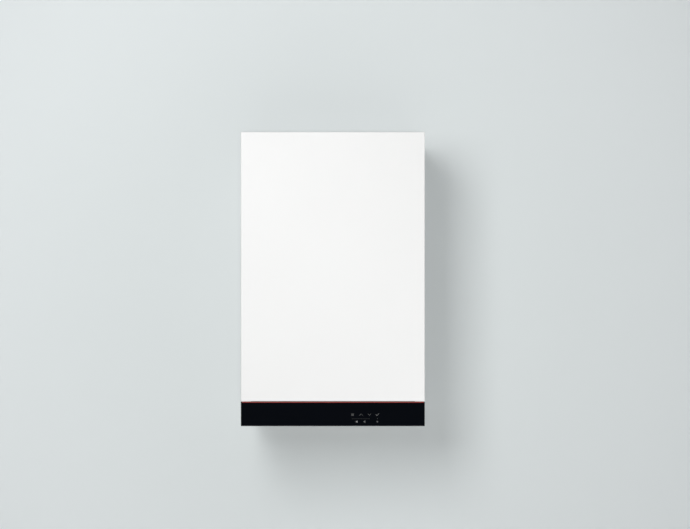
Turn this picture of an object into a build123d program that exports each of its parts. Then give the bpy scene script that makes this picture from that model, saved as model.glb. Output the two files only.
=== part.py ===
from build123d import *
import os
from math import cos, hypot, pi, radians, sin, tan

os.makedirs("parts", exist_ok=True)

# A wall-hung combi boiler, in millimetres. The origin is midway between the two wall bolts, on
# the face of the wall. +X is to the right, +Z is up, and the front faces -Y.

# ---------------------------------------------------------------- driving dimensions
# Casing
case_width = 450.0
case_height = 720.0
case_depth = 360.0
bolts_below_top = 60.0  # wall bolts under the casing's top
case_sheet = 1.2  # side and top panels
chassis_sheet = 1.5  # back panel, rails and floor
fold_radius = 1.8  # outside of a folded edge
seam = 0.5  # gap between neighbouring covers
fit_gap = 0.2  # gap round a part that drops into another
soft_gap = 0.3  # gap next to a soft or moving neighbour
running_gap = 0.05  # radial gap of a shaft in its hole
back_gap = 16.0  # back panel off the wall
back_flange = 28.0
hand_hole_length = 56.0
hand_hole_width = 16.0
hand_hole_drop = 70.0  # below the wall bolts

# Front panel and what it closes on
panel_sheet = 1.0
panel_depth = 22.0
panel_edge_radius = 1.5
grip_notch_inset = 24.0  # ends of the shadow gap under the panel
grip_notch_height = 1.0
joggle_step = 4.0  # chassis flange steps in behind the panel's returned edge
flange_width = 16.0
seal_thickness = 6.0
seal_width = 12.0
seal_inset = 1.6  # seal inside the joggle
crossbar_height = 26.0
crossbar_depth = 22.0
tongue_width = 20.0
tongue_gauge = 2.0
tongue_reach = 14.0  # past the flange
tongue_pitch = 320.0
top_tongue_drop = 12.0  # tongue above the lower edge of the top flange
clip_gauge = 0.6
clip_foot = 6.0
clip_past_tongue = 1.0

# Wall bracket and hanger
bracket_inset = 35.0  # bracket's ends inside the casing's sides
bracket_gauge = 2.5
bracket_below = 22.0
bracket_step = 18.0  # height where the lip steps off the wall
lip_stand = 9.0
lip_height = 16.0
bolt_pitch = 300.0
bolt_hole_radius = 4.5
hanger_gauge = 2.0
hanger_gap = 0.4
hanger_drop = 9.0

# Control unit
strip_height = 60.0
accent_height = 2.0
accent_inset = 2.4
accent_depth = 4.0
fascia_depth = 14.0
fascia_wall = 3.0
fascia_edge_radius = 1.0
tray_behind = 17.5  # tray's back in front of the floor's edge
tray_wall = 2.5
tray_inset = 0.4
cover_gauge = 1.5
hinge_pin_radius = 2.5
hinge_pin_height = 4.5  # above the bottom of the control unit
hinge_behind = 5.0  # pin behind the tray's back
hinge_ear_width = 4.0
hinge_plate_gauge = 2.0
hinge_plate_height = 22.0
hinge_side_gap = 1.3
board_gauge = 1.6
board_side_room = 75.0  # board's ends inside the casing's sides
board_margin = 19.0  # board's edges inside the tray's front and back
board_standoff = 12.0
relay_width = 15.0
relay_depth = 19.0
relay_pitch = 22.0
relay_count = 6
transformer_width = 44.0
transformer_depth = 38.0
choke_width = 26.0
choke_depth = 22.0
capacitor_radius = 6.5
capacitor_pitch = 18.0
terminal_depth = 12.0
touch_key_width = 18.0
boss_radius = 4.0
boss_inset = 11.0
pilot_radius = 1.5
gland_radius = 6.0
gland_pitch = 34.0
gland_count = 5

# Rocker switch under the control unit
switch_inset = 39.0  # switch's middle inside the casing's side
switch_behind = 60.0  # and behind its front
rocker_radius = 10.4
rocker_width = 10.6
rocker_tilt = 8.0  # degrees either side of level
switch_gap = 0.4
switch_wall = 1.6
switch_flange = 2.4
switch_flange_gauge = 1.2
switch_depth = 18.0
rocker_pin_radius = 1.2

# Expansion vessel at the back
vessel_width = 300.0
vessel_height = 370.0
vessel_thickness = 80.0
vessel_corner = 60.0
vessel_edge = 18.0
vessel_rim = 7.0
vessel_rim_gauge = 3.0
vessel_top_z = 20.0
vessel_port_x = 60.0

# Heat exchanger
exchanger_z = -215.0
shell_radius = 112.0
shell_wall = 3.0
front_room = 19.5  # between the fan's motor and the front panel
support_gauge = 2.0
support_gap = 5.0
support_height = 60.0
coil_outer = 104.0
coil_inner = 66.0
coil_turns = 4
drain_inset = 20.0  # condensate spigot behind the shell's front
header_radius = 11.0
header_reach = 18.0
flow_header_rise = 40.0
door_radius = 98.0
door_gauge = 6.0
door_rim = 14.0
door_rib_count = 10
stud_circle_radius = 88.0
stud_count = 6
burner_radius = 35.0
burner_end_gap = 58.0  # burner's end in front of the shell's back
electrode_x = -52.0
electrode_above = 28.0  # above the middle of the door
electrode_spread = 18.0
electrode_radius = 4.0
electrode_length = 28.0
igniter_inset = 25.0  # igniter's middle inside the casing's side
igniter_behind = 65.0  # and behind its front
igniter_z = -40.0
igniter_width = 33.6
igniter_depth = 48.0
igniter_height = 67.2
igniter_ear = 10.0
lead_radius = 2.5
lead_drop = 70.0
lead_slack = 26.0  # lead's bow in front of the electrode

# Fan and mixer
fan_inset = 87.0  # fan's axis inside the casing's side
fan_z = -50.0
duct_depth = 36.0
duct_width = 46.0
scroll_depth = 50.0
scroll_wall = 2.5
scroll_start = 50.0
scroll_growth = 14.0
scroll_sweep = 290.0  # degrees
scroll_mouth_drop = 62.0
spiral_steps = 8  # points of the spiral
lug_radius = 6.0
lug_count = 5
impeller_radius = 42.0
blade_count = 14
blade_gauge = 1.4
impeller_gap = 4.0  # between the impeller and the scroll's two walls
fan_shaft_radius = 3.0
fan_inlet_radius = 22.0
fan_motor_radius = 38.0
fan_motor_depth = 28.0
mixer_length = 56.0
mixer_radius = 30.0
mixer_throat = 13.0
silencer_room = 32.0  # between the silencer and the vessel
silencer_bell = 33.0

# Gas
gas_pipe_radius = 8.0
feed_pipe_radius = 7.0
gas_valve_width = 62.0
gas_valve_depth = 65.0
gas_valve_height = 65.0
gas_valve_inset = 44.0  # valve's middle inside the casing's side
gas_valve_z = -380.0
gas_feed_offset = 17.0  # feed pipe right of the valve's middle

# Flue
flue_y = -150.0
flue_inner = 30.0  # bore of the exhaust socket
flue_outer = 50.0  # bore of the air socket
flue_wall = 1.5
flue_stop = 3.0  # step at the bottom of the exhaust socket
flue_proud = 12.0
flue_drop = 42.0
flue_flange_radius = 66.0
flue_flange_gauge = 2.5
test_cap_radius = 7.0

# Water side
pipe_radius = 9.0
pipe_bend = 28.0
connection_pitch = 65.0
connection_y = -95.0
connection_below = 22.0  # spigots under the casing
spigot_large = 13.2  # 3/4 inch thread
spigot_small = 10.45  # 1/2 inch thread
thread_relief = 0.2  # spigot turned down where its lock nut sits
nut_height = 8.0
bore_large = 9.5
bore_small = 7.0
floor_above_bottom = 25.0
floor_depth = 178.0
manifold_y = -120.0
manifold_z = -545.0
manifold_radius = 18.0
plate_width = 190.0
plate_height = 75.0
plate_stack = 60.0
plate_count = 8
plate_step = 2.0
port_radius = 14.0
pump_z = -472.0
volute_radius = 44.0
volute_depth = 45.0
pump_motor_radius = 42.0
pump_motor_length = 90.0
pump_box = 60.0
pump_box_depth = 22.0
rotor_radius = 30.0
rotor_wall = 4.0
rotor_gap = 1.0
rotor_shaft_radius = 5.0
diverter_offset = 12.0  # diverter's axis inside the outermost spigot's
barrel_radius = 19.0
barrel_bore = 12.0
barrel_top_z = -470.0
spindle_radius = 3.0
spindle_travel = 6.0
seat_height = 12.0
actuator_width = 40.0
actuator_height = 46.0
relief_stand = 19.0  # relief valve's axis past the return block's end
relief_radius = 11.0
knob_length = 20.0
stem_radius = 3.0
trap_inset = 53.0  # trap's axis inside the casing's side
trap_y = -238.0
trap_radius = 28.0
trap_height = 112.0
trap_top_z = -405.0
hose_radius = 9.0
condensate_inset = 35.0  # hose's way through the floor, inside the casing's side
condensate_y = -175.0
clip_height = 12.0  # clip-on sensors
clip_wall = 2.0
clip_drop = 60.0  # under the exchanger's headers

# Screws of the casing
screw_radius = 4.0
screw_head = 2.2

# ---------------------------------------------------------------- planes of the assembly
half_width = case_width / 2
bracket_length = case_width - 2 * bracket_inset
grip_notch_width = case_width - 2 * grip_notch_inset
top_z = bolts_below_top
bottom_z = top_z - case_height
front_y = -case_depth
panel_bottom_z = bottom_z + strip_height
panel_back_y = front_y + panel_depth
side_front_y = panel_back_y + seam
flange_y = front_y + panel_sheet + soft_gap + seal_thickness
side_inner_x = half_width - case_sheet
flange_inner_x = half_width - joggle_step - flange_width
chassis_half = side_inner_x - fit_gap
chassis_y = -back_gap - chassis_sheet
under_top_z = top_z - case_sheet
strip_top_z = panel_bottom_z - seam
floor_front_y = chassis_y - floor_depth
tray_front_y = front_y + fascia_depth
tray_back_y = floor_front_y - tray_behind
tray_depth = tray_back_y - tray_front_y
board_width = case_width - 2 * board_side_room
board_depth = tray_depth - 2 * board_margin
switch_x = half_width - switch_inset
switch_y = front_y + switch_behind
hinge_y = tray_back_y + hinge_behind
hinge_z = bottom_z + hinge_pin_height
floor_z = bottom_z + floor_above_bottom
vessel_front_y = chassis_y - vessel_thickness
vessel_bottom_z = vessel_top_z - vessel_height
support_y = vessel_front_y - support_gap
shell_back_y = support_y - support_gauge
scroll_front_y = front_y + panel_sheet + front_room + fan_motor_depth
scroll_middle_y = scroll_front_y + scroll_depth / 2
scroll_back_y = scroll_front_y + scroll_depth
door_front_y = scroll_middle_y + duct_depth / 2
shell_front_y = door_front_y + door_rim
shell_length = shell_back_y - shell_front_y
burner_length = shell_length - burner_end_gap
header_y = manifold_y
fan_x = half_width - fan_inset
mouth_z = fan_z - scroll_mouth_drop
mixer_back_y = scroll_back_y + mixer_length
silencer_length = vessel_front_y - silencer_room - mixer_back_y
gas_valve_x = half_width - gas_valve_inset
connection_end_z = bottom_z - connection_below
nut_bottom_z = floor_z - chassis_sheet - nut_height
leg_top_z = manifold_z - manifold_radius - shell_wall
plate_back_y = manifold_y - manifold_radius - support_gap * 4
lip_top_z = bracket_step + lip_height
crossbar_bottom_z = panel_bottom_z + grip_notch_height + panel_sheet + seam
pump_x = 2 * connection_pitch
discharge_x = pump_x + volute_radius - 2 * pipe_radius
diverter_x = diverter_offset - 2 * connection_pitch
block_end_x = 2 * connection_pitch + 2 * manifold_radius
relief_x = block_end_x + relief_stand
trap_x = trap_inset - half_width
condensate_x = condensate_inset - half_width


def keep(part, name):
    """Label one finished piece and write its file."""
    part.label = name
    export_step(part, f"parts/{name}.step")


def fold(points, gauge, side=Side.LEFT, radius=fold_radius):
    """Closed outline of a sheet folded along the given corners, its gauge laid to one side."""
    with BuildSketch() as outline:
        with BuildLine():
            FilletPolyline(*points, radius=radius)
            offset(amount=gauge, side=side)
        make_face()
    return outline.sketch


def bent_tube(route, radius, bends):
    """Solid round tube along straight runs joined by tangent arcs."""
    with BuildPart() as tube:
        with BuildLine() as path:
            FilletPolyline(*route, radius=bends)
        with BuildSketch(Plane(path.line @ 0, z_dir=path.line % 0)):
            Circle(radius)
        sweep(path=path.wires()[0])
    return tube.part


def limp_bends(route):
    """Radii of a limp lead: as large as the two runs at each corner allow."""
    corners = [Vector(*point) for point in route]
    radii = []
    for before, corner, after in zip(corners, corners[1:], corners[2:]):
        turn = (corner - before).get_angle(after - corner)
        shorter = min((corner - before).length, (after - corner).length)
        radii.append(0.45 * shorter / tan(radians(turn) / 2))
    return radii


# ---------------------------------------------------------------- wall bracket
bracket_outline = fold(
    [(0, -bracket_below), (0, bracket_step), (-lip_stand, bracket_step), (-lip_stand, lip_top_z)],
    bracket_gauge,
)
with BuildPart() as wall_bracket:
    with BuildSketch(Plane.YZ):
        add(bracket_outline)
    extrude(amount=bracket_length / 2, both=True)
    with BuildSketch(Plane.XZ):
        with GridLocations(bolt_pitch, 0, 2, 1):
            Circle(bolt_hole_radius)
    extrude(amount=bracket_gauge, mode=Mode.SUBTRACT)
keep(wall_bracket.part, "wall_bracket")

# ---------------------------------------------------------------- back panel with its hanger
back_outline = fold(
    [
        (chassis_half, -back_gap - back_flange),
        (chassis_half, -back_gap),
        (-chassis_half, -back_gap),
        (-chassis_half, -back_gap - back_flange),
    ],
    chassis_sheet,
)
hook_y = -lip_stand + hanger_gap
hanger_outline = fold(
    [
        (-back_gap - chassis_sheet, lip_top_z - bracket_step),
        (-back_gap - chassis_sheet, lip_top_z + hanger_gauge),
        (hook_y + hanger_gauge, lip_top_z + hanger_gauge),
        (hook_y + hanger_gauge, lip_top_z - hanger_drop),
    ],
    hanger_gauge,
    Side.RIGHT,
)
foot_z = bottom_z + strip_height
with BuildPart() as back_panel:
    with BuildSketch(Plane.XY.offset(bottom_z)):
        add(back_outline)
    extrude(amount=under_top_z - bottom_z)
    with BuildSketch(Plane.YZ):
        add(hanger_outline)
    extrude(amount=bracket_length / 2 + back_gap, both=True)
    # pressed feet that hold the bottom off the wall
    with BuildSketch(Plane.XZ):
        with Locations((-tongue_pitch / 2, foot_z), (tongue_pitch / 2, foot_z)):
            Circle(back_gap)
    extrude(amount=back_gap + chassis_sheet / 2, taper=-10)
    # hand holes for lifting the boiler on to its bracket
    with BuildSketch(Plane.XZ.offset(back_gap)):
        with Locations((0, -hand_hole_drop)):
            with GridLocations(2 * (chassis_half - back_flange), 0, 2, 1):
                SlotOverall(hand_hole_length, hand_hole_width, rotation=90)
    extrude(amount=chassis_sheet, mode=Mode.SUBTRACT)
keep(back_panel.part, "back_panel")

# ---------------------------------------------------------------- side panels
side_outline = fold(
    [
        (half_width, 0),
        (half_width, side_front_y),
        (half_width - joggle_step, side_front_y),
        (half_width - joggle_step, flange_y),
        (flange_inner_x, flange_y),
    ],
    case_sheet,
    Side.RIGHT,
)
with BuildPart() as side_panel_right:
    with BuildSketch(Plane.XY.offset(bottom_z)):
        add(side_outline)
    extrude(amount=under_top_z - bottom_z)
    # the control unit's cheek fills this corner, and its lower edge swings through the round relief
    with BuildSketch(Plane.YZ.offset(half_width)):
        with Locations((tray_back_y + seam, panel_bottom_z)):
            Rectangle(case_depth, strip_height, align=(Align.MAX, Align.MAX))
        with Locations((hinge_y, hinge_z)):
            Circle(hypot(hinge_behind, hinge_pin_height) + soft_gap)
    extrude(amount=-half_width, mode=Mode.SUBTRACT)
    # the joggle stops above the front panel's lower edge
    with BuildSketch(Plane.YZ.offset(half_width)):
        with Locations((side_front_y, crossbar_bottom_z)):
            Rectangle(case_depth, strip_height, align=(Align.MAX, Align.MAX))
    extrude(amount=-half_width, mode=Mode.SUBTRACT)
    # turned-in flanges that carry the floor and close the lower edge
    with Locations((side_inner_x, chassis_y - back_flange, floor_z - chassis_sheet)):
        Box(flange_width, floor_depth - 2 * back_flange, case_sheet, align=(Align.MAX, Align.MAX, Align.MAX))
with BuildPart() as side_panel_left:
    add(mirror(side_panel_right.part, about=Plane.YZ))
keep(side_panel_right.part, "side_panel_right")
keep(side_panel_left.part, "side_panel_left")

# ---------------------------------------------------------------- top panel
top_outline = fold(
    [
        (0, top_z),
        (side_front_y, top_z),
        (side_front_y, top_z - joggle_step),
        (flange_y, top_z - joggle_step),
        (flange_y, top_z - joggle_step - flange_width),
    ],
    case_sheet,
)
top_tongue_z = top_z - joggle_step - flange_width + top_tongue_drop - tongue_gauge
with BuildPart() as top_panel:
    with BuildSketch(Plane.YZ):
        add(top_outline)
    extrude(amount=flange_inner_x - seam, both=True)
    with BuildSketch(Plane.XY.offset(under_top_z)):
        with Locations((0, side_front_y)):
            Rectangle(case_width, -side_front_y, align=(Align.CENTER, Align.MIN))
    extrude(amount=case_sheet)
    for sign in (-1, 1):
        with Locations((sign * (chassis_half - case_sheet / 2), side_front_y / 2, under_top_z)):
            Box(case_sheet, -side_front_y / 2, flange_width, align=(Align.CENTER, Align.CENTER, Align.MAX))
    with Locations((0, flue_y, top_z)):
        Cylinder(flue_outer + 2 * flue_wall + fit_gap, case_sheet * 4, mode=Mode.SUBTRACT)
    # slots for the front panel's upper tongues
    with Locations((0, flange_y, top_tongue_z)):
        with GridLocations(tongue_pitch, 0, 2, 1):
            Box(
                tongue_width + 2 * fit_gap,
                case_sheet * 4,
                tongue_gauge + 2 * fit_gap,
                mode=Mode.SUBTRACT,
            )
keep(top_panel.part, "top_panel")

# ---------------------------------------------------------------- floor
connection_xs = [step * connection_pitch for step in (-2, -1, 0, 1, 2)]
large_xs = [connection_xs[0], connection_xs[2], connection_xs[4]]
small_xs = [connection_xs[1], connection_xs[3]]
floor_outline = fold(
    [(chassis_y, floor_z), (floor_front_y, floor_z), (floor_front_y, floor_z + flange_width)],
    chassis_sheet,
)
with BuildPart() as bottom_panel:
    with BuildSketch(Plane.YZ):
        add(floor_outline)
    extrude(amount=chassis_half - chassis_sheet - fit_gap, both=True)
    with BuildSketch(Plane.XY.offset(floor_z)):
        with Locations(*[(x, connection_y) for x in large_xs]):
            Circle(spigot_large + fit_gap)
        with Locations(*[(x, connection_y) for x in small_xs]):
            Circle(spigot_small + fit_gap)
        with Locations((condensate_x, condensate_y)):
            Circle(hose_radius + 2 * fit_gap)
        with Locations((relief_x, manifold_y)):
            Circle(pipe_radius + 2 * fit_gap)
    extrude(amount=-chassis_sheet, mode=Mode.SUBTRACT)
    # pressed louvres let the floor drain and breathe
    with BuildSketch(Plane.XY.offset(floor_z)):
        with Locations((0, floor_front_y + back_flange)):
            with GridLocations(2 * back_flange, 0, 5, 1):
                SlotOverall(back_flange * 1.4, pilot_radius * 3)
    extrude(amount=-chassis_sheet, mode=Mode.SUBTRACT)
keep(bottom_panel.part, "bottom_panel")

# ---------------------------------------------------------------- lower crossbar
crossbar_top_z = crossbar_bottom_z + crossbar_height
crossbar_outline = fold(
    [
        (flange_y, crossbar_top_z),
        (flange_y, crossbar_bottom_z),
        (flange_y + crossbar_depth, crossbar_bottom_z),
        (flange_y + crossbar_depth, crossbar_bottom_z + crossbar_height / 2),
    ],
    chassis_sheet,
)
low_tongue_z = crossbar_bottom_z + crossbar_height * 0.62
with BuildPart() as lower_crossbar:
    with BuildSketch(Plane.YZ):
        add(crossbar_outline)
    extrude(amount=flange_inner_x - seam, both=True)
    # end tabs lie behind the side panels' flanges
    for sign in (-1, 1):
        with Locations((sign * flange_inner_x, flange_y + case_sheet, crossbar_bottom_z + fold_radius)):
            Box(
                1.5 * flange_width,
                chassis_sheet,
                crossbar_height - fold_radius,
                align=(Align.CENTER, Align.MIN, Align.MIN),
            )
    with Locations((0, flange_y, low_tongue_z)):
        with GridLocations(tongue_pitch, 0, 2, 1):
            Box(
                tongue_width + 2 * fit_gap,
                case_sheet * 4,
                tongue_gauge + 2 * fit_gap,
                mode=Mode.SUBTRACT,
            )
keep(lower_crossbar.part, "lower_crossbar")

# ---------------------------------------------------------------- foam seal
seal_half = half_width - joggle_step - seal_inset
seal_top_z = top_z - joggle_step - seal_inset
seal_bottom_z = crossbar_bottom_z + seal_inset
with BuildPart() as front_seal:
    with BuildSketch(Plane.XZ.offset(-flange_y)):
        with Locations((0, (seal_top_z + seal_bottom_z) / 2)):
            Rectangle(2 * seal_half, seal_top_z - seal_bottom_z)
            Rectangle(
                2 * (seal_half - seal_width),
                seal_top_z - seal_bottom_z - 2 * seal_width,
                mode=Mode.SUBTRACT,
            )
    extrude(amount=seal_thickness)
    # notches where the front panel's tongues pass
    for slot_z in (top_tongue_z, low_tongue_z):
        with Locations((0, flange_y - seal_thickness / 2, slot_z + tongue_gauge)):
            with GridLocations(tongue_pitch, 0, 2, 1):
                Box(
                    tongue_width + 4 * soft_gap,
                    2 * seal_thickness,
                    tongue_gauge + tongue_width / 2 + 2 * soft_gap,
                    align=(Align.CENTER, Align.CENTER, Align.MAX),
                    mode=Mode.SUBTRACT,
                )
keep(front_seal.part, "front_seal")

# ---------------------------------------------------------------- spring clips
clip_y = flange_y + chassis_sheet
clip_half = tongue_gauge / 2 + running_gap
clip_end_y = flange_y + tongue_reach + clip_past_tongue
clip_outline = fold(
    [
        (clip_y, low_tongue_z + clip_half + clip_foot),
        (clip_y, low_tongue_z + clip_half),
        (clip_end_y, low_tongue_z + clip_half),
        (clip_end_y, low_tongue_z - clip_half),
        (clip_y, low_tongue_z - clip_half),
        (clip_y, low_tongue_z - clip_half - clip_foot),
    ],
    clip_gauge,
    Side.LEFT,
    clip_gauge,
)
with BuildPart() as panel_clips:
    for sign in (-1, 1):
        with BuildSketch(Plane.YZ.offset(sign * tongue_pitch / 2 - tongue_width / 2)):
            add(clip_outline)
        extrude(amount=tongue_width)
keep(panel_clips.part, "panel_clips")

# ---------------------------------------------------------------- front panel
panel_height = top_z - panel_bottom_z
with BuildPart() as front_panel:
    with Locations((0, panel_back_y, panel_bottom_z)):
        Box(case_width, panel_depth, panel_height, align=(Align.CENTER, Align.MAX, Align.MIN))
    panel_front = front_panel.faces().sort_by(Axis.Y)[0]
    fillet(panel_front.edges(), panel_edge_radius)
    panel_open = front_panel.faces().sort_by(Axis.Y)[-1]
    offset(amount=-panel_sheet, openings=panel_open)
    # the lower edge steps up between the corners, which leaves a grip and a shadow gap
    with Locations((0, panel_back_y, panel_bottom_z)):
        Box(
            grip_notch_width,
            panel_depth,
            grip_notch_height,
            align=(Align.CENTER, Align.MAX, Align.MIN),
            mode=Mode.SUBTRACT,
        )
    with Locations((0, panel_back_y, panel_bottom_z + grip_notch_height)):
        Box(
            grip_notch_width + 2 * panel_sheet,
            panel_depth - panel_sheet,
            panel_sheet,
            align=(Align.CENTER, Align.MAX, Align.MIN),
        )
tongue_tip_y = flange_y + tongue_reach
panel_inside_y = front_y + panel_sheet
with BuildPart() as panel_tongue:
    with BuildSketch(Plane.YZ.offset(-tongue_width / 2)):
        with BuildLine():
            Polyline(
                (panel_inside_y, tongue_gauge / 2),
                (tongue_tip_y, tongue_gauge / 2),
                (tongue_tip_y, -tongue_gauge / 2),
                (panel_inside_y + tongue_gauge, -tongue_gauge / 2),
                (panel_inside_y + tongue_gauge, -tongue_width / 2),
                (panel_inside_y, -tongue_width / 2),
                close=True,
            )
        make_face()
    extrude(amount=tongue_width)
    chamfer(panel_tongue.edges().filter_by(Axis.Y).group_by(Axis.Z)[-1], tongue_gauge / 4)
with BuildPart(mode=Mode.PRIVATE) as panel_with_tongues:
    add(front_panel.part)
    for tongue_z in (top_tongue_z, low_tongue_z):
        for sign in (-1, 1):
            with Locations((sign * tongue_pitch / 2, 0, tongue_z)):
                add(panel_tongue.part)
keep(panel_with_tongues.part, "front_panel")

# ---------------------------------------------------------------- control fascia and accent strip
fascia_height = strip_top_z - bottom_z
with BuildPart() as control_fascia:
    with Locations((0, tray_front_y, bottom_z)):
        Box(case_width, fascia_depth, fascia_height, align=(Align.CENTER, Align.MAX, Align.MIN))
    fascia_front = control_fascia.faces().sort_by(Axis.Y)[0]
    fillet(fascia_front.edges(), fascia_edge_radius)
    fascia_open = control_fascia.faces().sort_by(Axis.Y)[-1]
    offset(amount=-fascia_wall, openings=fascia_open)
    with Locations((0, front_y, strip_top_z)):
        Box(
            case_width - 2 * accent_inset,
            accent_depth,
            accent_height,
            align=(Align.CENTER, Align.MIN, Align.MAX),
            mode=Mode.SUBTRACT,
        )
keep(control_fascia.part, "control_fascia")

with BuildPart() as accent_strip:
    with Locations((0, front_y, strip_top_z)):
        Box(
            case_width - 2 * accent_inset - 2 * fit_gap,
            accent_depth,
            accent_height,
            align=(Align.CENTER, Align.MIN, Align.MAX),
        )
    accent_front = accent_strip.faces().sort_by(Axis.Y)[0]
    fillet(accent_front.edges().filter_by(Axis.X), accent_height / 5)
keep(accent_strip.part, "accent_strip")

# ---------------------------------------------------------------- control housing
tray_half = half_width - tray_inset
tray_top_z = strip_top_z - fascia_wall
tray_floor_z = bottom_z + tray_wall
boss_xs = 2 * (tray_half - tray_wall - boss_inset)
boss_ys = tray_depth - tray_wall - 2 * boss_inset
tray_middle_y = (tray_front_y + tray_back_y) / 2
ear_outer_x = side_inner_x - hinge_plate_gauge - hinge_side_gap
switch_half_x = rocker_radius + switch_gap + switch_wall
switch_half_y = rocker_width / 2 + switch_gap + switch_wall
board_y = tray_middle_y
with BuildPart() as control_housing:
    with Locations((0, tray_middle_y, bottom_z)):
        Box(
            2 * tray_half,
            tray_depth,
            tray_top_z - bottom_z,
            align=(Align.CENTER, Align.CENTER, Align.MIN),
        )
    tray_open = control_housing.faces().sort_by(Axis.Z)[-1]
    tray_mouth = control_housing.faces().sort_by(Axis.Y)[0]
    offset(amount=-tray_wall, openings=[tray_open, tray_mouth])
    # hinge ears
    for sign in (-1, 1):
        with BuildSketch(Plane.YZ.offset(sign * ear_outer_x)):
            with Locations((hinge_y, hinge_z)):
                Circle(hinge_pin_height)
            with Locations((hinge_y, bottom_z)):
                Rectangle(
                    hinge_behind + tray_wall,
                    2 * hinge_pin_height,
                    align=(Align.MAX, Align.MIN),
                )
            with Locations((hinge_y, hinge_z)):
                Circle(hinge_pin_radius + running_gap, mode=Mode.SUBTRACT)
        extrude(amount=-sign * hinge_ear_width)
    # cover bosses and board standoffs
    with BuildSketch(Plane.XY.offset(tray_floor_z)):
        with Locations((0, tray_middle_y)):
            with GridLocations(boss_xs, boss_ys, 2, 2):
                Circle(boss_radius)
    extrude(amount=tray_top_z - tray_floor_z)
    with BuildSketch(Plane.XY.offset(tray_floor_z)):
        with Locations((0, board_y)):
            with GridLocations(board_width - 4 * boss_radius, board_depth - 4 * boss_radius, 2, 2):
                Circle(boss_radius)
    extrude(amount=board_standoff)
    with BuildSketch(Plane.XY.offset(tray_top_z)):
        with Locations((0, tray_middle_y)):
            with GridLocations(boss_xs, boss_ys, 2, 2):
                Circle(pilot_radius)
    extrude(amount=-boss_inset, mode=Mode.SUBTRACT)
    # stiffening ribs on the floor
    for rib_x in (-0.42, -0.14, 0.14, 0.42):
        with Locations((rib_x * board_width, tray_middle_y, tray_floor_z)):
            Box(
                tray_wall,
                tray_depth - 2 * tray_wall,
                tray_wall * 2,
                align=(Align.CENTER, Align.CENTER, Align.MIN),
            )
    # vents in the floor
    with BuildSketch(Plane.XY.offset(bottom_z)):
        with Locations((-switch_x, tray_middle_y)):
            with GridLocations(tray_wall * 3, 0, 8, 1):
                Rectangle(tray_wall, board_depth / 3)
    extrude(amount=tray_wall, mode=Mode.SUBTRACT)
    # opening of the rocker switch
    with Locations((switch_x, switch_y, bottom_z)):
        Box(2 * (switch_half_x + fit_gap), 2 * (switch_half_y + fit_gap), 3 * tray_wall, mode=Mode.SUBTRACT)
    # cable glands through the back wall
    with BuildSketch(Plane.XZ.offset(-tray_back_y)):
        with Locations((0, (tray_top_z + bottom_z) / 2)):
            with GridLocations(gland_pitch, 0, gland_count, 1):
                Circle(gland_radius)
    extrude(amount=tray_wall, mode=Mode.SUBTRACT)
keep(control_housing.part, "control_housing")

# ---------------------------------------------------------------- control cover
with BuildPart() as control_cover:
    with Locations((0, tray_middle_y, tray_top_z)):
        Box(2 * tray_half, tray_depth, cover_gauge, align=(Align.CENTER, Align.CENTER, Align.MIN))
        with GridLocations(boss_xs, boss_ys, 2, 2):
            Hole(pilot_radius + fit_gap)
    with BuildSketch(Plane.XY.offset(tray_top_z)):
        with Locations((0, tray_middle_y)):
            with GridLocations(board_width / 2, 0, 2, 1):
                with GridLocations(tray_wall * 3, 0, 7, 1):
                    Rectangle(tray_wall, board_depth / 2)
    extrude(amount=cover_gauge, mode=Mode.SUBTRACT)
    # locating lip inside the tray
    lip_inner_y = tray_back_y - tray_wall - fit_gap
    with Locations((0, lip_inner_y, tray_top_z)):
        Box(board_width, tray_wall, tray_wall, align=(Align.CENTER, Align.MAX, Align.MAX))
keep(control_cover.part, "control_cover")

# ---------------------------------------------------------------- boards
board_z = tray_floor_z + board_standoff
part_room = tray_top_z - tray_wall - board_z - board_gauge
with BuildPart() as main_board:
    with Locations((0, board_y, board_z)):
        Box(board_width, board_depth, board_gauge, align=(Align.CENTER, Align.CENTER, Align.MIN))
    on_board = Plane.XY.offset(board_z + board_gauge)
    with BuildSketch(on_board):  # relays
        with Locations((-board_width * 0.2, board_y - board_depth * 0.3)):
            with GridLocations(relay_pitch, 0, relay_count, 1):
                Rectangle(relay_width, relay_depth)
    extrude(amount=part_room * 0.55)
    with BuildSketch(on_board):  # transformer and filter choke
        with Locations((board_width * 0.33, board_y + board_depth * 0.12)):
            Rectangle(transformer_width, transformer_depth)
        with Locations((board_width * 0.12, board_y + board_depth * 0.2)):
            Rectangle(choke_width, choke_depth)
    extrude(amount=part_room * 0.9)
    with BuildSketch(on_board):  # capacitors
        with Locations((-board_width * 0.05, board_y + board_depth * 0.25)):
            with GridLocations(capacitor_pitch, 0, 3, 1):
                Circle(capacitor_radius)
    extrude(amount=part_room * 0.8)
    with BuildSketch(on_board):  # terminal row along the back edge
        with Locations((-board_width * 0.25, board_y + board_depth / 2 - terminal_depth)):
            Rectangle(board_width * 0.4, terminal_depth)
    extrude(amount=part_room * 0.4)
keep(main_board.part, "main_board")

touch_y = front_y + fascia_wall
with BuildPart() as touch_board:
    with Locations((0, touch_y, (tray_floor_z + strip_top_z) / 2)):
        Box(
            board_width * 1.2,
            board_gauge,
            fascia_height * 0.7,
            align=(Align.CENTER, Align.MIN, Align.CENTER),
        )
    with BuildSketch(Plane.XZ.offset(-touch_y - board_gauge)):
        with Locations((0, (tray_floor_z + strip_top_z) / 2)):
            with GridLocations(board_width * 0.3, 0, 4, 1):
                Rectangle(touch_key_width, touch_key_width)
    extrude(amount=-board_gauge * 2)
keep(touch_board.part, "touch_board")

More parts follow.
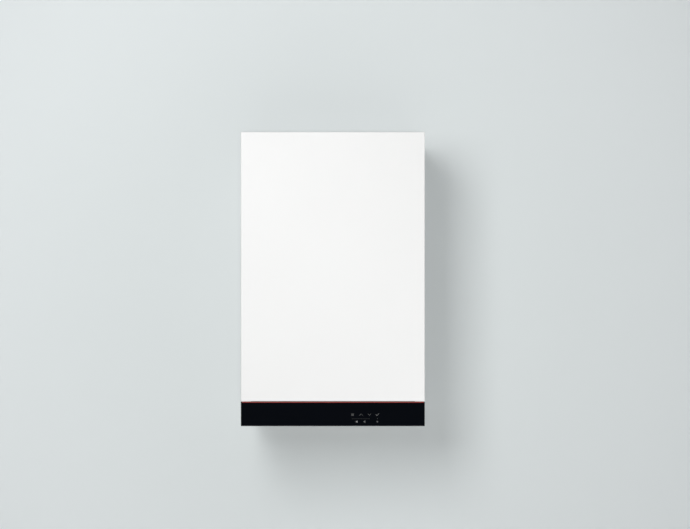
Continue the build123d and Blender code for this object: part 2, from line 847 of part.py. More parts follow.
gland_z = (tray_top_z + bottom_z) / 2
gland_xs = [(step - (gland_count - 1) / 2) * gland_pitch for step in range(gland_count)]
with BuildPart() as cable_glands:
    for gland_x in gland_xs:
        with BuildSketch(Plane.XZ.offset(-tray_back_y + tray_wall)):
            with Locations((gland_x, gland_z)):
                Circle(gland_radius - fit_gap)
        extrude(amount=-tray_wall)
        with BuildSketch(Plane.XZ.offset(-tray_back_y)):
            with Locations((gland_x, gland_z)):
                RegularPolygon(gland_radius * 1.4, 6)
        extrude(amount=-hinge_behind * 0.8)
        with BuildSketch(Plane.XZ.offset(-tray_back_y + tray_wall)):
            with Locations((gland_x, gland_z)):
                Circle(gland_radius * 0.6)
        extrude(amount=-tray_wall - hinge_behind, mode=Mode.SUBTRACT)
keep(cable_glands.part, "cable_glands")

# ---------------------------------------------------------------- rocker switch
rocker_z = bottom_z + switch_flange_gauge * 2
switch_bottom_z = bottom_z - switch_flange_gauge
with BuildPart() as switch_body:
    with Locations((switch_x, switch_y, bottom_z)):
        Box(
            2 * (switch_half_x + switch_flange),
            2 * (switch_half_y + switch_flange),
            switch_flange_gauge,
            align=(Align.CENTER, Align.CENTER, Align.MAX),
        )
        Box(2 * switch_half_x, 2 * switch_half_y, switch_depth, align=(Align.CENTER, Align.CENTER, Align.MIN))
    flange_rim = switch_body.faces().sort_by(Axis.Z)[0].edges()
    chamfer(flange_rim, switch_flange_gauge / 3)
    with Locations((switch_x, switch_y, switch_bottom_z)):
        Box(
            2 * (rocker_radius + switch_gap),
            rocker_width + 2 * switch_gap,
            switch_depth - switch_wall,
            align=(Align.CENTER, Align.CENTER, Align.MIN),
            mode=Mode.SUBTRACT,
        )
    with BuildSketch(Plane.XZ.offset(-switch_y - switch_half_y)):
        with Locations((switch_x, rocker_z)):
            Circle(rocker_pin_radius + running_gap)
    extrude(amount=2 * switch_half_y, mode=Mode.SUBTRACT)
    with BuildSketch(Plane.XY.offset(bottom_z + switch_depth)):
        with Locations((switch_x, switch_y)):
            with GridLocations(rocker_radius * 0.8, 0, 3, 1):
                Rectangle(switch_wall / 2, rocker_width / 2)
    extrude(amount=switch_gap * 12)
keep(switch_body.part, "switch_body")

rocker_end = rocker_radius * 0.56
rocker_waist = rocker_radius * 0.46
with BuildPart() as power_rocker:
    with BuildSketch(Plane.XZ.offset(-switch_y - rocker_width / 2)):
        with Locations(Location((switch_x, rocker_z), rocker_tilt)):
            Circle(rocker_radius)
            Polygon(
                (-rocker_radius, -rocker_end),
                (0, -rocker_waist),
                (rocker_radius, -rocker_end),
                (rocker_radius * 0.7, rocker_radius * 0.4),
                (-rocker_radius * 0.7, rocker_radius * 0.4),
                align=None,
                mode=Mode.INTERSECT,
            )
    extrude(amount=rocker_width)
    with BuildSketch(Plane.XZ.offset(-switch_y - switch_half_y)):
        with Locations((switch_x, rocker_z)):
            Circle(rocker_pin_radius)
    extrude(amount=2 * switch_half_y)
keep(power_rocker.part, "power_rocker")

# ---------------------------------------------------------------- hinge brackets with their pins
with BuildPart() as hinge_brackets:
    for sign in (-1, 1):
        with BuildSketch(Plane.YZ.offset(sign * side_inner_x)):
            with Locations((hinge_y, hinge_z)):
                Circle(hinge_pin_radius * 1.5)
            with Locations((hinge_y, hinge_z - hinge_pin_radius * 1.5)):
                Rectangle(hinge_plate_height, 3 * hinge_pin_radius, align=(Align.MIN, Align.MIN))
            with Locations((hinge_y + hinge_plate_height, hinge_z - hinge_pin_radius * 1.5)):
                Rectangle(hinge_plate_height / 2, hinge_plate_height, align=(Align.MAX, Align.MIN))
        extrude(amount=-sign * hinge_plate_gauge)
        with BuildSketch(Plane.YZ.offset(sign * (side_inner_x - hinge_plate_gauge))):
            with Locations((hinge_y, hinge_z)):
                Circle(hinge_pin_radius)
        extrude(amount=-sign * (hinge_side_gap + hinge_ear_width + hinge_side_gap))
keep(hinge_brackets.part, "hinge_brackets")

# ---------------------------------------------------------------- expansion vessel
vessel_z = vessel_top_z - vessel_height / 2
vessel_middle_y = chassis_y - vessel_thickness / 2
with BuildPart() as expansion_vessel:
    with BuildSketch(Plane.XZ.offset(-chassis_y)):
        with Locations((0, vessel_z)):
            RectangleRounded(vessel_width, vessel_height, vessel_corner)
    extrude(amount=vessel_thickness)
    fillet(expansion_vessel.faces().sort_by(Axis.Y)[0].edges(), vessel_edge)
    chamfer(expansion_vessel.faces().sort_by(Axis.Y)[-1].edges(), vessel_edge / 2)
    with BuildSketch(Plane.XZ.offset(-vessel_middle_y - vessel_rim_gauge / 2)):
        with Locations((0, vessel_z)):
            RectangleRounded(
                vessel_width + 2 * vessel_rim, vessel_height + 2 * vessel_rim, vessel_corner + vessel_rim
            )
    extrude(amount=vessel_rim_gauge)
    with BuildSketch(Plane.XY.offset(vessel_z)):
        with Locations((vessel_port_x, chassis_y - vessel_thickness * 0.75)):
            Circle(pipe_radius)
    extrude(amount=-vessel_height / 2 - vessel_rim)
keep(expansion_vessel.part, "expansion_vessel")

# ---------------------------------------------------------------- exchanger support
support_half = vessel_width / 2 + vessel_rim + support_gap
support_outline = fold(
    [
        (support_half + back_flange, chassis_y - support_gauge),
        (support_half, chassis_y - support_gauge),
        (support_half, support_y - support_gauge),
        (-support_half, support_y - support_gauge),
        (-support_half, chassis_y - support_gauge),
        (-support_half - back_flange, chassis_y - support_gauge),
    ],
    support_gauge,
    Side.RIGHT,
    support_gauge,
)
with BuildPart() as exchanger_support:
    with BuildSketch(Plane.XY.offset(exchanger_z - support_height / 2)):
        add(support_outline)
    extrude(amount=support_height)
keep(exchanger_support.part, "exchanger_support")

# ---------------------------------------------------------------- heat exchanger
flow_header_z = exchanger_z + flow_header_rise
return_header_z = exchanger_z - flow_header_rise
drain_y = shell_front_y + drain_inset
with BuildPart() as exchanger_shell:
    with BuildSketch(Plane.XZ.offset(-shell_back_y)):
        with Locations((0, exchanger_z)):
            Circle(shell_radius)
    extrude(amount=shell_length)
    chamfer(exchanger_shell.edges().group_by(Axis.Y)[-1], shell_wall)
    # rolled stiffening beads
    for bead in (0.3, 0.7):
        with BuildSketch(Plane.XZ.offset(-shell_back_y + bead * shell_length)):
            with Locations((0, exchanger_z)):
                Circle(shell_radius + shell_wall)
        extrude(amount=2 * shell_wall)
    # exhaust spigot on top, condensate spigot below
    with BuildSketch(Plane.XY.offset(exchanger_z)):
        with Locations((0, flue_y)):
            Circle(flue_inner + flue_wall * 2)
    extrude(amount=shell_radius + header_reach)
    with BuildSketch(Plane.XY.offset(exchanger_z)):
        with Locations((0, drain_y)):
            Circle(hose_radius)
    extrude(amount=-shell_radius - header_reach)
    # hollow for the coil and the burner, open to the exhaust spigot
    with BuildSketch(Plane.XZ.offset(-shell_back_y + shell_wall)):
        with Locations((0, exchanger_z)):
            Circle(shell_radius - shell_wall)
    extrude(amount=shell_length - 2 * shell_wall, mode=Mode.SUBTRACT)
    with BuildSketch(Plane.XZ.offset(-shell_front_y - shell_wall)):
        with Locations((0, exchanger_z)):
            Circle(coil_inner + shell_wall)
    extrude(amount=shell_wall, mode=Mode.SUBTRACT)
    with BuildSketch(Plane.XY.offset(exchanger_z + coil_outer)):
        with Locations((0, flue_y)):
            Circle(flue_inner - flue_stop)
    extrude(amount=shell_radius, mode=Mode.SUBTRACT)
    # holes for the coil's headers
    for sign, header_z in ((-1, flow_header_z), (1, return_header_z)):
        with BuildSketch(Plane.YZ):
            with Locations((header_y, header_z)):
                Circle(header_radius + fit_gap)
        extrude(amount=sign * shell_radius * 1.5, mode=Mode.SUBTRACT)
keep(exchanger_shell.part, "exchanger_shell")

coil_back_y = shell_back_y - shell_wall - fit_gap
coil_length = shell_length - 2 * shell_wall - 2 * fit_gap
turn_pitch = coil_length / coil_turns
with BuildPart() as exchanger_coil:
    with BuildSketch(Plane.XZ.offset(-coil_back_y)):
        with Locations((0, exchanger_z)):
            Circle(coil_outer)
            Circle(coil_inner, mode=Mode.SUBTRACT)
    extrude(amount=coil_length)
    # gaps between the turns of the flattened tube
    for turn in range(1, coil_turns):
        with BuildSketch(Plane.XZ.offset(-coil_back_y + turn * turn_pitch - fit_gap)):
            with Locations((0, exchanger_z)):
                Circle(coil_outer)
                Circle((coil_outer + coil_inner) / 2, mode=Mode.SUBTRACT)
        extrude(amount=2 * shell_wall, mode=Mode.SUBTRACT)
    for sign, header_z in ((-1, flow_header_z), (1, return_header_z)):
        with BuildSketch(Plane.YZ.offset(sign * (coil_outer + coil_inner) / 2)):
            with Locations((header_y, header_z)):
                Circle(header_radius)
        extrude(amount=sign * (shell_radius + header_reach - (coil_outer + coil_inner) / 2))
    with BuildSketch(Plane.XZ.offset(-coil_back_y)):
        with Locations((0, exchanger_z)):
            Circle(coil_inner)
    extrude(amount=coil_length, mode=Mode.SUBTRACT)
keep(exchanger_coil.part, "exchanger_coil")

# ---------------------------------------------------------------- burner door
rib_circle_radius = (stud_circle_radius + burner_radius - door_gauge) / 2
with BuildPart() as burner_door:
    with BuildSketch(Plane.XZ.offset(-shell_front_y)):
        with Locations((0, exchanger_z)):
            Circle(door_radius)
            with PolarLocations(stud_circle_radius, stud_count):
                Circle(door_gauge * 1.6)
    extrude(amount=door_gauge)
    # raised collar for the premix duct and radial ribs
    with BuildSketch(Plane.XZ.offset(-shell_front_y)):
        with Locations((0, exchanger_z)):
            Circle(burner_radius + door_gauge)
    extrude(amount=door_rim)
    with BuildSketch(Plane.XZ.offset(-shell_front_y)):
        with Locations((0, exchanger_z)):
            with PolarLocations(rib_circle_radius, door_rib_count, start_angle=26):
                Rectangle(stud_circle_radius - burner_radius - 4 * door_gauge, door_gauge / 2)
    extrude(amount=door_rim * 0.8)
    with BuildSketch(Plane.XZ.offset(-shell_front_y)):
        with Locations((0, exchanger_z)):
            Circle(burner_radius - door_gauge)
    extrude(amount=door_rim, mode=Mode.SUBTRACT)
keep(burner_door.part, "burner_door")

with BuildPart() as door_nuts:
    for stud in range(stud_count):
        angle = 2 * pi * stud / stud_count
        stud_x = stud_circle_radius * cos(angle)
        stud_z = exchanger_z + stud_circle_radius * sin(angle)
        with BuildSketch(Plane.XZ.offset(-shell_front_y + door_gauge)):
            with Locations((stud_x, stud_z)):
                RegularPolygon(door_gauge, 6)
        extrude(amount=door_gauge * 0.8)
        with BuildSketch(Plane.XZ.offset(-shell_front_y + door_gauge * 1.8)):
            with Locations((stud_x, stud_z)):
                Circle(door_gauge * 0.5)
        extrude(amount=door_gauge * 0.5)
keep(door_nuts.part, "door_nuts")

with BuildPart() as burner:
    with BuildSketch(Plane.XZ.offset(-shell_front_y)):
        with Locations((0, exchanger_z)):
            Circle(burner_radius)
            Circle(burner_radius - case_sheet, mode=Mode.SUBTRACT)
    extrude(amount=-burner_length)
    with BuildSketch(Plane.XZ.offset(-shell_front_y - burner_length)):
        with Locations((0, exchanger_z)):
            Circle(burner_radius)
    extrude(amount=case_sheet)
    with BuildSketch(Plane.XZ.offset(-shell_front_y)):
        with Locations((0, exchanger_z)):
            Circle(burner_radius + shell_wall)
            Circle(burner_radius - case_sheet, mode=Mode.SUBTRACT)
    extrude(amount=-case_sheet)
keep(burner.part, "burner")

# ---------------------------------------------------------------- electrodes and ignition
electrode_z = exchanger_z + electrode_above
with BuildPart() as electrodes:
    for electrode_rise in (-electrode_spread / 2, electrode_spread / 2):
        with BuildSketch(Plane.XZ.offset(-shell_front_y + door_gauge)):
            with Locations((electrode_x, electrode_z + electrode_rise)):
                Circle(electrode_radius)
        extrude(amount=electrode_length)
        with BuildSketch(Plane.XZ.offset(-shell_front_y + door_gauge)):
            with Locations((electrode_x, electrode_z + electrode_rise)):
                RegularPolygon(electrode_radius * 1.8, 6)
        extrude(amount=electrode_radius)
keep(electrodes.part, "electrodes")

igniter_x = igniter_inset - half_width
igniter_y = front_y + igniter_behind
with BuildPart() as ignition_transformer:
    with Locations((igniter_x, igniter_y, igniter_z)):
        Box(igniter_width, igniter_depth, igniter_height)
    fillet(ignition_transformer.edges().filter_by(Axis.Y), shell_wall)
    # mounting ears against the side panel
    with Locations((-side_inner_x, igniter_y, igniter_z)):
        Box(
            igniter_width / 2,
            igniter_depth + 2 * igniter_ear,
            case_sheet * 2,
            align=(Align.MIN, Align.CENTER, Align.CENTER),
        )
keep(ignition_transformer.part, "ignition_transformer")

lead_start_z = igniter_z - igniter_height / 2
lead_end_y = shell_front_y - door_gauge - electrode_length
lead_route = [
    (igniter_x, igniter_y, lead_start_z),
    (igniter_x, igniter_y, lead_start_z - lead_drop),
    (electrode_x, lead_end_y - lead_slack, electrode_z + electrode_spread / 2),
    (electrode_x, lead_end_y, electrode_z + electrode_spread / 2),
]
keep(bent_tube(lead_route, lead_radius, limp_bends(lead_route)), "ignition_lead")

# ---------------------------------------------------------------- premix duct
mouth_x = fan_x - scroll_start - scroll_growth + duct_width / 2
with BuildPart() as premix_duct:
    with BuildSketch(Plane.XZ.offset(-door_front_y)):
        with BuildLine():
            FilletPolyline(
                (0, exchanger_z - duct_width / 2),
                (mouth_x + duct_width / 2, exchanger_z - duct_width / 2),
                (mouth_x + duct_width / 2, mouth_z),
                radius=duct_width * 1.1,
            )
            Polyline(
                (mouth_x + duct_width / 2, mouth_z),
                (mouth_x - duct_width / 2, mouth_z),
            )
            FilletPolyline(
                (mouth_x - duct_width / 2, mouth_z),
                (mouth_x - duct_width / 2, exchanger_z + duct_width / 2),
                (0, exchanger_z + duct_width / 2),
                radius=duct_width * 0.4,
            )
            Line((0, exchanger_z + duct_width / 2), (0, exchanger_z - duct_width / 2))
        make_face()
    extrude(amount=duct_depth)
    with BuildSketch(Plane.XZ.offset(-door_front_y)):
        with Locations((0, exchanger_z)):
            Circle(burner_radius + door_gauge)
    extrude(amount=duct_depth)
    duct_rim = premix_duct.faces().sort_by(Axis.Y)[0].edges()
    chamfer(duct_rim, door_gauge)
    # flange under the fan's mouth
    with Locations((mouth_x, scroll_middle_y, mouth_z)):
        Box(
            duct_width + 2 * door_gauge,
            duct_depth + door_gauge,
            door_gauge,
            align=(Align.CENTER, Align.CENTER, Align.MAX),
        )
keep(premix_duct.part, "premix_duct")


# ---------------------------------------------------------------- fan
def spiral_point(share, beyond=0):
    """Point of the scroll's spiral at a share of its sweep, from the tongue round to the mouth."""
    angle = pi - radians(scroll_sweep) * (1 - share)
    radius = scroll_start + scroll_growth * share + beyond
    return fan_x + radius * cos(angle), fan_z + radius * sin(angle)


def scroll_sketch(clearance):
    """Filled outline of the scroll: a spiral chamber that opens into a straight mouth, pointing down."""
    spiral = [spiral_point(step / spiral_steps) for step in range(spiral_steps + 1)]
    with BuildSketch() as filled:
        with BuildLine():
            for step in range(0, spiral_steps, 2):
                ThreePointArc(*spiral[step : step + 3])
            Polyline(
                spiral[-1],
                (mouth_x - duct_width / 2, mouth_z),
                (mouth_x + duct_width / 2, mouth_z),
                spiral[0],
            )
        make_face()
        if clearance:
            offset(amount=clearance)
        with Locations((mouth_x, mouth_z)):
            Rectangle(
                duct_width + 2 * clearance, 2 * scroll_wall, align=(Align.CENTER, Align.MIN)
            )
    return filled.sketch


scroll_outer = scroll_sketch(0)
scroll_inner = scroll_sketch(-scroll_wall)
with BuildPart() as fan_scroll:
    # spiral wall between two flat walls, the rear one with the air inlet
    with BuildSketch(Plane.XZ.offset(-scroll_back_y)):
        add(scroll_outer)
        add(scroll_inner, mode=Mode.SUBTRACT)
    extrude(amount=scroll_depth)
    with BuildSketch(Plane.XZ.offset(-scroll_back_y)):
        add(scroll_outer)
        with Locations((fan_x, fan_z)):
            Circle(fan_inlet_radius, mode=Mode.SUBTRACT)
    extrude(amount=scroll_wall)
    with BuildSketch(Plane.XZ.offset(-scroll_front_y - scroll_wall)):
        add(scroll_outer)
        with Locations((fan_x, fan_z)):
            Circle(fan_shaft_radius * 2, mode=Mode.SUBTRACT)
    extrude(amount=scroll_wall)
    # screwed lugs where the two halves meet
    with BuildSketch(Plane.XZ.offset(-scroll_middle_y - scroll_wall)):
        with Locations(*[spiral_point(step / lug_count, lug_radius / 3) for step in range(1, lug_count)]):
            Circle(lug_radius)
        add(scroll_inner, mode=Mode.SUBTRACT)
    extrude(amount=2 * scroll_wall)
keep(fan_scroll.part, "fan_scroll")

impeller_front_y = scroll_front_y + scroll_wall + impeller_gap
impeller_depth = scroll_depth - 2 * scroll_wall - 2 * impeller_gap
shaft_end_y = scroll_front_y - fan_motor_depth * 0.7
with BuildSketch() as blade_outline:
    with BuildLine():
        blade_sweep = radians(38)
        RadiusArc(
            (impeller_radius * 0.5, 0),
            (impeller_radius * 0.96 * cos(blade_sweep), impeller_radius * 0.96 * sin(blade_sweep)),
            impeller_radius * 0.7,
        )
        offset(amount=blade_gauge, side=Side.LEFT)
    make_face()
with BuildPart() as fan_impeller:
    # back plate on the motor's side, blades, shroud on the inlet's side
    with BuildSketch(Plane.XZ.offset(-impeller_front_y - blade_gauge)):
        with Locations((fan_x, fan_z)):
            Circle(impeller_radius)
    extrude(amount=blade_gauge)
    with BuildSketch(Plane.XZ.offset(-impeller_front_y - impeller_depth)):
        with Locations((fan_x, fan_z)):
            with PolarLocations(0, blade_count):
                add(blade_outline.sketch)
    extrude(amount=impeller_depth)
    with BuildSketch(Plane.XZ.offset(-impeller_front_y - impeller_depth)):
        with Locations((fan_x, fan_z)):
            Circle(impeller_radius)
            Circle(fan_inlet_radius, mode=Mode.SUBTRACT)
    extrude(amount=blade_gauge)
    # hub and shaft
    with BuildSketch(Plane.XZ.offset(-impeller_front_y - impeller_depth / 2)):
        with Locations((fan_x, fan_z)):
            Circle(fan_shaft_radius * 2.4)
    extrude(amount=impeller_depth / 2)
    with BuildSketch(Plane.XZ.offset(-impeller_front_y)):
        with Locations((fan_x, fan_z)):
            Circle(fan_shaft_radius)
    extrude(amount=impeller_front_y - shaft_end_y)
keep(fan_impeller.part, "fan_impeller")

with BuildPart() as fan_motor:
    with BuildSketch(Plane.XZ.offset(-scroll_front_y)):
        with Locations((fan_x, fan_z)):
            Circle(fan_motor_radius)
    extrude(amount=fan_motor_depth)
    chamfer(fan_motor.edges().group_by(Axis.Y)[0], door_gauge / 2)
    # cooling fins
    with BuildSketch(Plane.XZ.offset(-scroll_front_y + door_gauge)):
        with Locations((fan_x, fan_z)):
            with PolarLocations(fan_motor_radius, 12):
                Rectangle(door_gauge, blade_gauge * 2)
    extrude(amount=fan_motor_depth - 2 * door_gauge)
    with Locations((fan_x, scroll_front_y, fan_z + fan_motor_radius)):
        Box(
            fan_motor_radius,
            fan_motor_depth * 0.7,
            door_gauge * 2,
            align=(Align.CENTER, Align.MAX, Align.CENTER),
        )
    with BuildSketch(Plane.XZ.offset(-scroll_front_y)):
        with Locations((fan_x, fan_z)):
            Circle(fan_shaft_radius + running_gap)
    extrude(amount=fan_motor_depth * 0.8, mode=Mode.SUBTRACT)
keep(fan_motor.part, "fan_motor")

# ---------------------------------------------------------------- mixer and silencer
boss_middle_y = (scroll_back_y + mixer_back_y) / 2
gas_boss_x = fan_x + mixer_radius + door_gauge
with BuildPart() as gas_air_mixer:
    with BuildSketch(Plane.XY) as mixer_profile:
        with BuildLine():
            Polyline(
                (fan_inlet_radius, scroll_back_y),
                (mixer_radius + door_gauge, scroll_back_y),
                (mixer_radius + door_gauge, scroll_back_y + door_gauge),
                (mixer_radius * 0.8, scroll_back_y + door_gauge),
                (mixer_radius * 0.8, mixer_back_y),
                (mixer_radius * 0.8 - shell_wall, mixer_back_y),
                (mixer_throat, boss_middle_y),
                close=True,
            )
        make_face()
    revolve(axis=Axis.Y)
gas_air_mixer_placed = Pos(fan_x, 0, fan_z) * gas_air_mixer.part
with BuildPart() as mixer_with_boss:
    add(gas_air_mixer_placed)
    with BuildSketch(Plane.YZ.offset(fan_x + mixer_radius * 0.7)):
        with Locations((boss_middle_y, fan_z)):
            Circle(feed_pipe_radius + shell_wall)
    extrude(amount=gas_boss_x - fan_x - mixer_radius * 0.7)
keep(mixer_with_boss.part, "gas_air_mixer")

with BuildPart() as air_silencer:
    with BuildSketch(Plane.XY):
        with BuildLine():
            Polyline(
                (mixer_radius * 0.8 - shell_wall, mixer_back_y),
                (mixer_radius * 0.8, mixer_back_y),
                (mixer_radius, mixer_back_y + silencer_length * 0.3),
                (mixer_radius, mixer_back_y + silencer_length * 0.8),
                (silencer_bell, mixer_back_y + silencer_length),
                (silencer_bell - case_sheet, mixer_back_y + silencer_length),
                (mixer_radius - shell_wall, mixer_back_y + silencer_length * 0.8),
                (mixer_radius - shell_wall, mixer_back_y + silencer_length * 0.3),
                close=True,
            )
        make_face()
    revolve(axis=Axis.Y)
keep(Pos(fan_x, 0, fan_z) * air_silencer.part, "air_silencer")

# ---------------------------------------------------------------- gas valve and gas pipes
gas_valve_y = boss_middle_y
feed_x = gas_valve_x + gas_feed_offset
valve_top_z = gas_valve_z + gas_valve_height / 2
valve_left_x = gas_valve_x - gas_valve_width / 2
gas_run_z = gas_valve_z - gas_valve_height * 0.1
with BuildPart() as gas_valve:
    with Locations((gas_valve_x, gas_valve_y, gas_valve_z)):
        Box(gas_valve_width, gas_valve_depth, gas_valve_height)
    fillet(gas_valve.edges().filter_by(Axis.Y), shell_wall * 2)
    with Locations((gas_valve_x, gas_valve_y - gas_valve_depth / 2, gas_valve_z)):
        Box(gas_valve_width * 0.7, door_gauge, gas_valve_height * 0.7)
    with BuildSketch(Plane.XZ.offset(-gas_valve_y + gas_valve_depth / 2)):
        with Locations((gas_valve_x, gas_valve_z)):
            with GridLocations(gas_valve_width * 0.5, 0, 2, 1):
                Circle(gas_valve_width * 0.22)
    extrude(amount=gas_valve_depth * 0.45)
    with BuildSketch(Plane.XY.offset(valve_top_z)):
        with Locations((feed_x, gas_valve_y)):
            Circle(feed_pipe_radius + shell_wall)
    extrude(amount=door_gauge)
    with BuildSketch(Plane.YZ.offset(valve_left_x)):
        with Locations((gas_valve_y, gas_run_z)):
            Circle(gas_pipe_radius + shell_wall)
    extrude(amount=-door_gauge)
keep(gas_valve.part, "gas_valve")

feed_route = [
    (feed_x, gas_valve_y, valve_top_z + door_gauge),
    (feed_x, gas_valve_y, fan_z),
    (gas_boss_x, gas_valve_y, fan_z),
]
keep(bent_tube(feed_route, feed_pipe_radius, feed_pipe_radius * 2), "gas_feed_pipe")

def tail(spigot_x, spigot):
    """Spigot under the floor: threaded, and turned down where its lock nut sits."""
    with BuildPart() as spigot_tail:
        with BuildSketch(Plane.XY.offset(floor_z)):
            with Locations((spigot_x, connection_y)):
                Circle(spigot - thread_relief)
        extrude(amount=nut_bottom_z - seam - floor_z)
        with BuildSketch(Plane.XY.offset(connection_end_z)):
            with Locations((spigot_x, connection_y)):
                Circle(spigot)
        extrude(amount=nut_bottom_z - seam - connection_end_z)
    return spigot_tail.part


gas_route = [
    (0, connection_y, floor_z),
    (0, connection_y, gas_run_z),
    (0, gas_valve_y, gas_run_z),
    (valve_left_x - door_gauge, gas_valve_y, gas_run_z),
]
gas_inlet_tube = bent_tube(gas_route, gas_pipe_radius, pipe_bend)
with BuildPart() as gas_inlet_pipe:
    add(gas_inlet_tube)
    with BuildSketch(Plane.XY.offset(floor_z)):
        with Locations((0, connection_y)):
            RegularPolygon(spigot_large * 1.3, 6)
    extrude(amount=spigot_large)
with BuildPart() as gas_tail:
    add(tail(0, spigot_large))
    with BuildSketch(Plane.XY.offset(floor_z)):
        with Locations((0, connection_y)):
            Circle(bore_large)
    extrude(amount=connection_end_z - floor_z, mode=Mode.SUBTRACT)
keep(Compound([gas_inlet_pipe.solid(), gas_tail.solid()]), "gas_inlet_pipe")

# ---------------------------------------------------------------- flue
spigot_top_z = exchanger_z + shell_radius + header_reach
socket_bottom_z = top_z - flue_drop
with BuildPart() as flue_riser:
    with BuildSketch(Plane.XY.offset(spigot_top_z)):
        with Locations((0, flue_y)):
            Circle(flue_inner + 3 * flue_wall)
            Circle(flue_inner - flue_stop, mode=Mode.SUBTRACT)
    extrude(amount=socket_bottom_z - spigot_top_z)
    with BuildSketch(Plane.XY.offset(spigot_top_z)):
        with Locations((0, flue_y)):
            Circle(flue_inner + 5 * flue_wall)
            Circle(flue_inner + 3 * flue_wall, mode=Mode.SUBTRACT)
    extrude(amount=header_reach)
keep(flue_riser.part, "flue_riser")

test_point_angles = {"start_angle": -60, "angular_range": -60, "endpoint": True}
with BuildPart() as flue_socket:
    with BuildSketch(Plane.XY.offset(socket_bottom_z)):
        with Locations((0, flue_y)):
            Circle(flue_outer + flue_wall)
            Circle(flue_outer, mode=Mode.SUBTRACT)
    extrude(amount=flue_drop + flue_proud)
    with BuildSketch(Plane.XY.offset(socket_bottom_z)):
        with Locations((0, flue_y)):
            Circle(flue_inner + flue_wall)
            Circle(flue_inner, mode=Mode.SUBTRACT)
    extrude(amount=flue_drop)
    # three webs hold the exhaust socket in the middle of the air socket
    with BuildSketch(Plane.XY.offset(socket_bottom_z)):
        with Locations((0, flue_y)):
            with PolarLocations((flue_inner + flue_outer) / 2 + flue_wall / 2, 3, start_angle=90):
                Rectangle(flue_outer - flue_inner, 2 * flue_wall)
    extrude(amount=flue_drop / 3)
    # flange screwed to the top panel
    with BuildSketch(Plane.XY.offset(top_z)):
        with Locations((0, flue_y)):
            Circle(flue_flange_radius)
            with PolarLocations(flue_flange_radius, 4, start_angle=45):
                Circle(flue_flange_gauge * 3)
            Circle(flue_outer, mode=Mode.SUBTRACT)
    extrude(amount=flue_flange_gauge)
    # bosses of the two test points on the collar
    with BuildSketch(Plane.XY.offset(top_z)):
        with Locations((0, flue_y)):
            with PolarLocations(flue_outer + test_cap_radius, 2, **test_point_angles):
                Circle(test_cap_radius)
            Circle(flue_outer, mode=Mode.SUBTRACT)
    extrude(amount=flue_proud / 2)
keep(flue_socket.part, "flue_socket")

with BuildPart() as test_point_caps:
    with BuildSketch(Plane.XY.offset(top_z + flue_proud / 2)):
        with Locations((0, flue_y)):
            with PolarLocations(flue_outer + test_cap_radius, 2, **test_point_angles):
                Circle(test_cap_radius - flue_wall)
    extrude(amount=flue_proud / 2 - flue_wall)
    chamfer(test_point_caps.edges().group_by(Axis.Z)[-1], flue_wall / 2)
keep(test_point_caps.part, "test_point_caps")

# ---------------------------------------------------------------- condensate trap and hoses
trap_bottom_z = trap_top_z - trap_height
trap_neck_radius = hose_radius + shell_wall
with BuildPart() as condensate_trap:
    with BuildSketch(Plane.XY.offset(trap_bottom_z)):
        with Locations((trap_x, trap_y)):
            Circle(trap_radius)
    extrude(amount=trap_height)
    chamfer(condensate_trap.edges().group_by(Axis.Z)[0], door_gauge)
    # screwed cleaning cup with grip ribs
    with BuildSketch(Plane.XY.offset(trap_bottom_z + door_gauge)):
        with Locations((trap_x, trap_y)):
            Circle(trap_radius + shell_wall)
            with PolarLocations(trap_radius + shell_wall, 12):
                Rectangle(2 * shell_wall, shell_wall)
    extrude(amount=trap_height / 4)
    with BuildSketch(Plane.XY.offset(trap_top_z)):
        with Locations((trap_x, trap_y)):
            Circle(trap_neck_radius)
    extrude(amount=door_gauge)
    # outlet on the back and a bracket on the side panel
    with BuildSketch(Plane.XZ.offset(-trap_y)):
        with Locations((trap_x, trap_bottom_z + trap_height * 0.55)):
            Circle(trap_neck_radius)
    extrude(amount=-trap_radius - door_gauge)
    with Locations((-side_inner_x, trap_y, trap_top_z - trap_height * 0.2)):
        Box(
            side_inner_x + trap_x,
            trap_radius,
            shell_wall,
            align=(Align.MIN, Align.CENTER, Align.CENTER),
        )
        Box(case_sheet, trap_radius * 1.4, trap_radius, align=(Align.MIN, Align.CENTER, Align.CENTER))
keep(condensate_trap.part, "condensate_trap")

outlet_z = trap_bottom_z + trap_height * 0.55
outlet_y = trap_y + trap_radius + door_gauge
drain_top_z = exchanger_z - shell_radius - header_reach
drain_run_z = (drain_top_z + trap_top_z + door_gauge) / 2
inlet_route = [
    (0, drain_y, drain_top_z),
    (0, drain_y, drain_run_z),
    (trap_x, trap_y, drain_run_z),
    (trap_x, trap_y, trap_top_z + door_gauge),
]
outlet_route = [
    (trap_x, outlet_y, outlet_z),
    (trap_x, outlet_y + 2 * hose_radius, outlet_z),
    (condensate_x, condensate_y, outlet_z - 5 * hose_radius),
    (condensate_x, condensate_y, connection_end_z + connection_below),
]
inlet_hose = bent_tube(inlet_route, hose_radius, 2 * hose_radius)
outlet_hose = bent_tube(outlet_route, hose_radius, hose_radius * 1.3)
keep(Compound([inlet_hose.solid(), outlet_hose.solid()]), "condensate_hoses")

# ---------------------------------------------------------------- plate heat exchanger
plate_front_y = plate_back_y - plate_stack
plate_z = manifold_z
plate_gauge = plate_stack / plate_count
port_x = connection_pitch
with BuildPart() as plate_exchanger:
    for plate in range(plate_count):
        inset = plate_step * (plate % 2)
        with BuildSketch(Plane.XZ.offset(-plate_back_y + plate * plate_gauge)):
            with Locations((0, plate_z)):
                Rectangle(plate_width - 2 * inset, plate_height - 2 * inset)
        extrude(amount=plate_gauge)
    # round joggles over the four ports on the cover plate
    with BuildSketch(Plane.XZ.offset(-plate_front_y)):
        with Locations((0, plate_z)):
            with GridLocations(2 * port_x, plate_height / 2, 2, 2):
                Circle(port_radius)
    extrude(amount=plate_step)
    vertical = plate_exchanger.edges().filter_by(Axis.Y)
    chamfer(vertical.group_by(SortBy.LENGTH)[-1], plate_step * 2)
keep(plate_exchanger.part, "plate_exchanger")


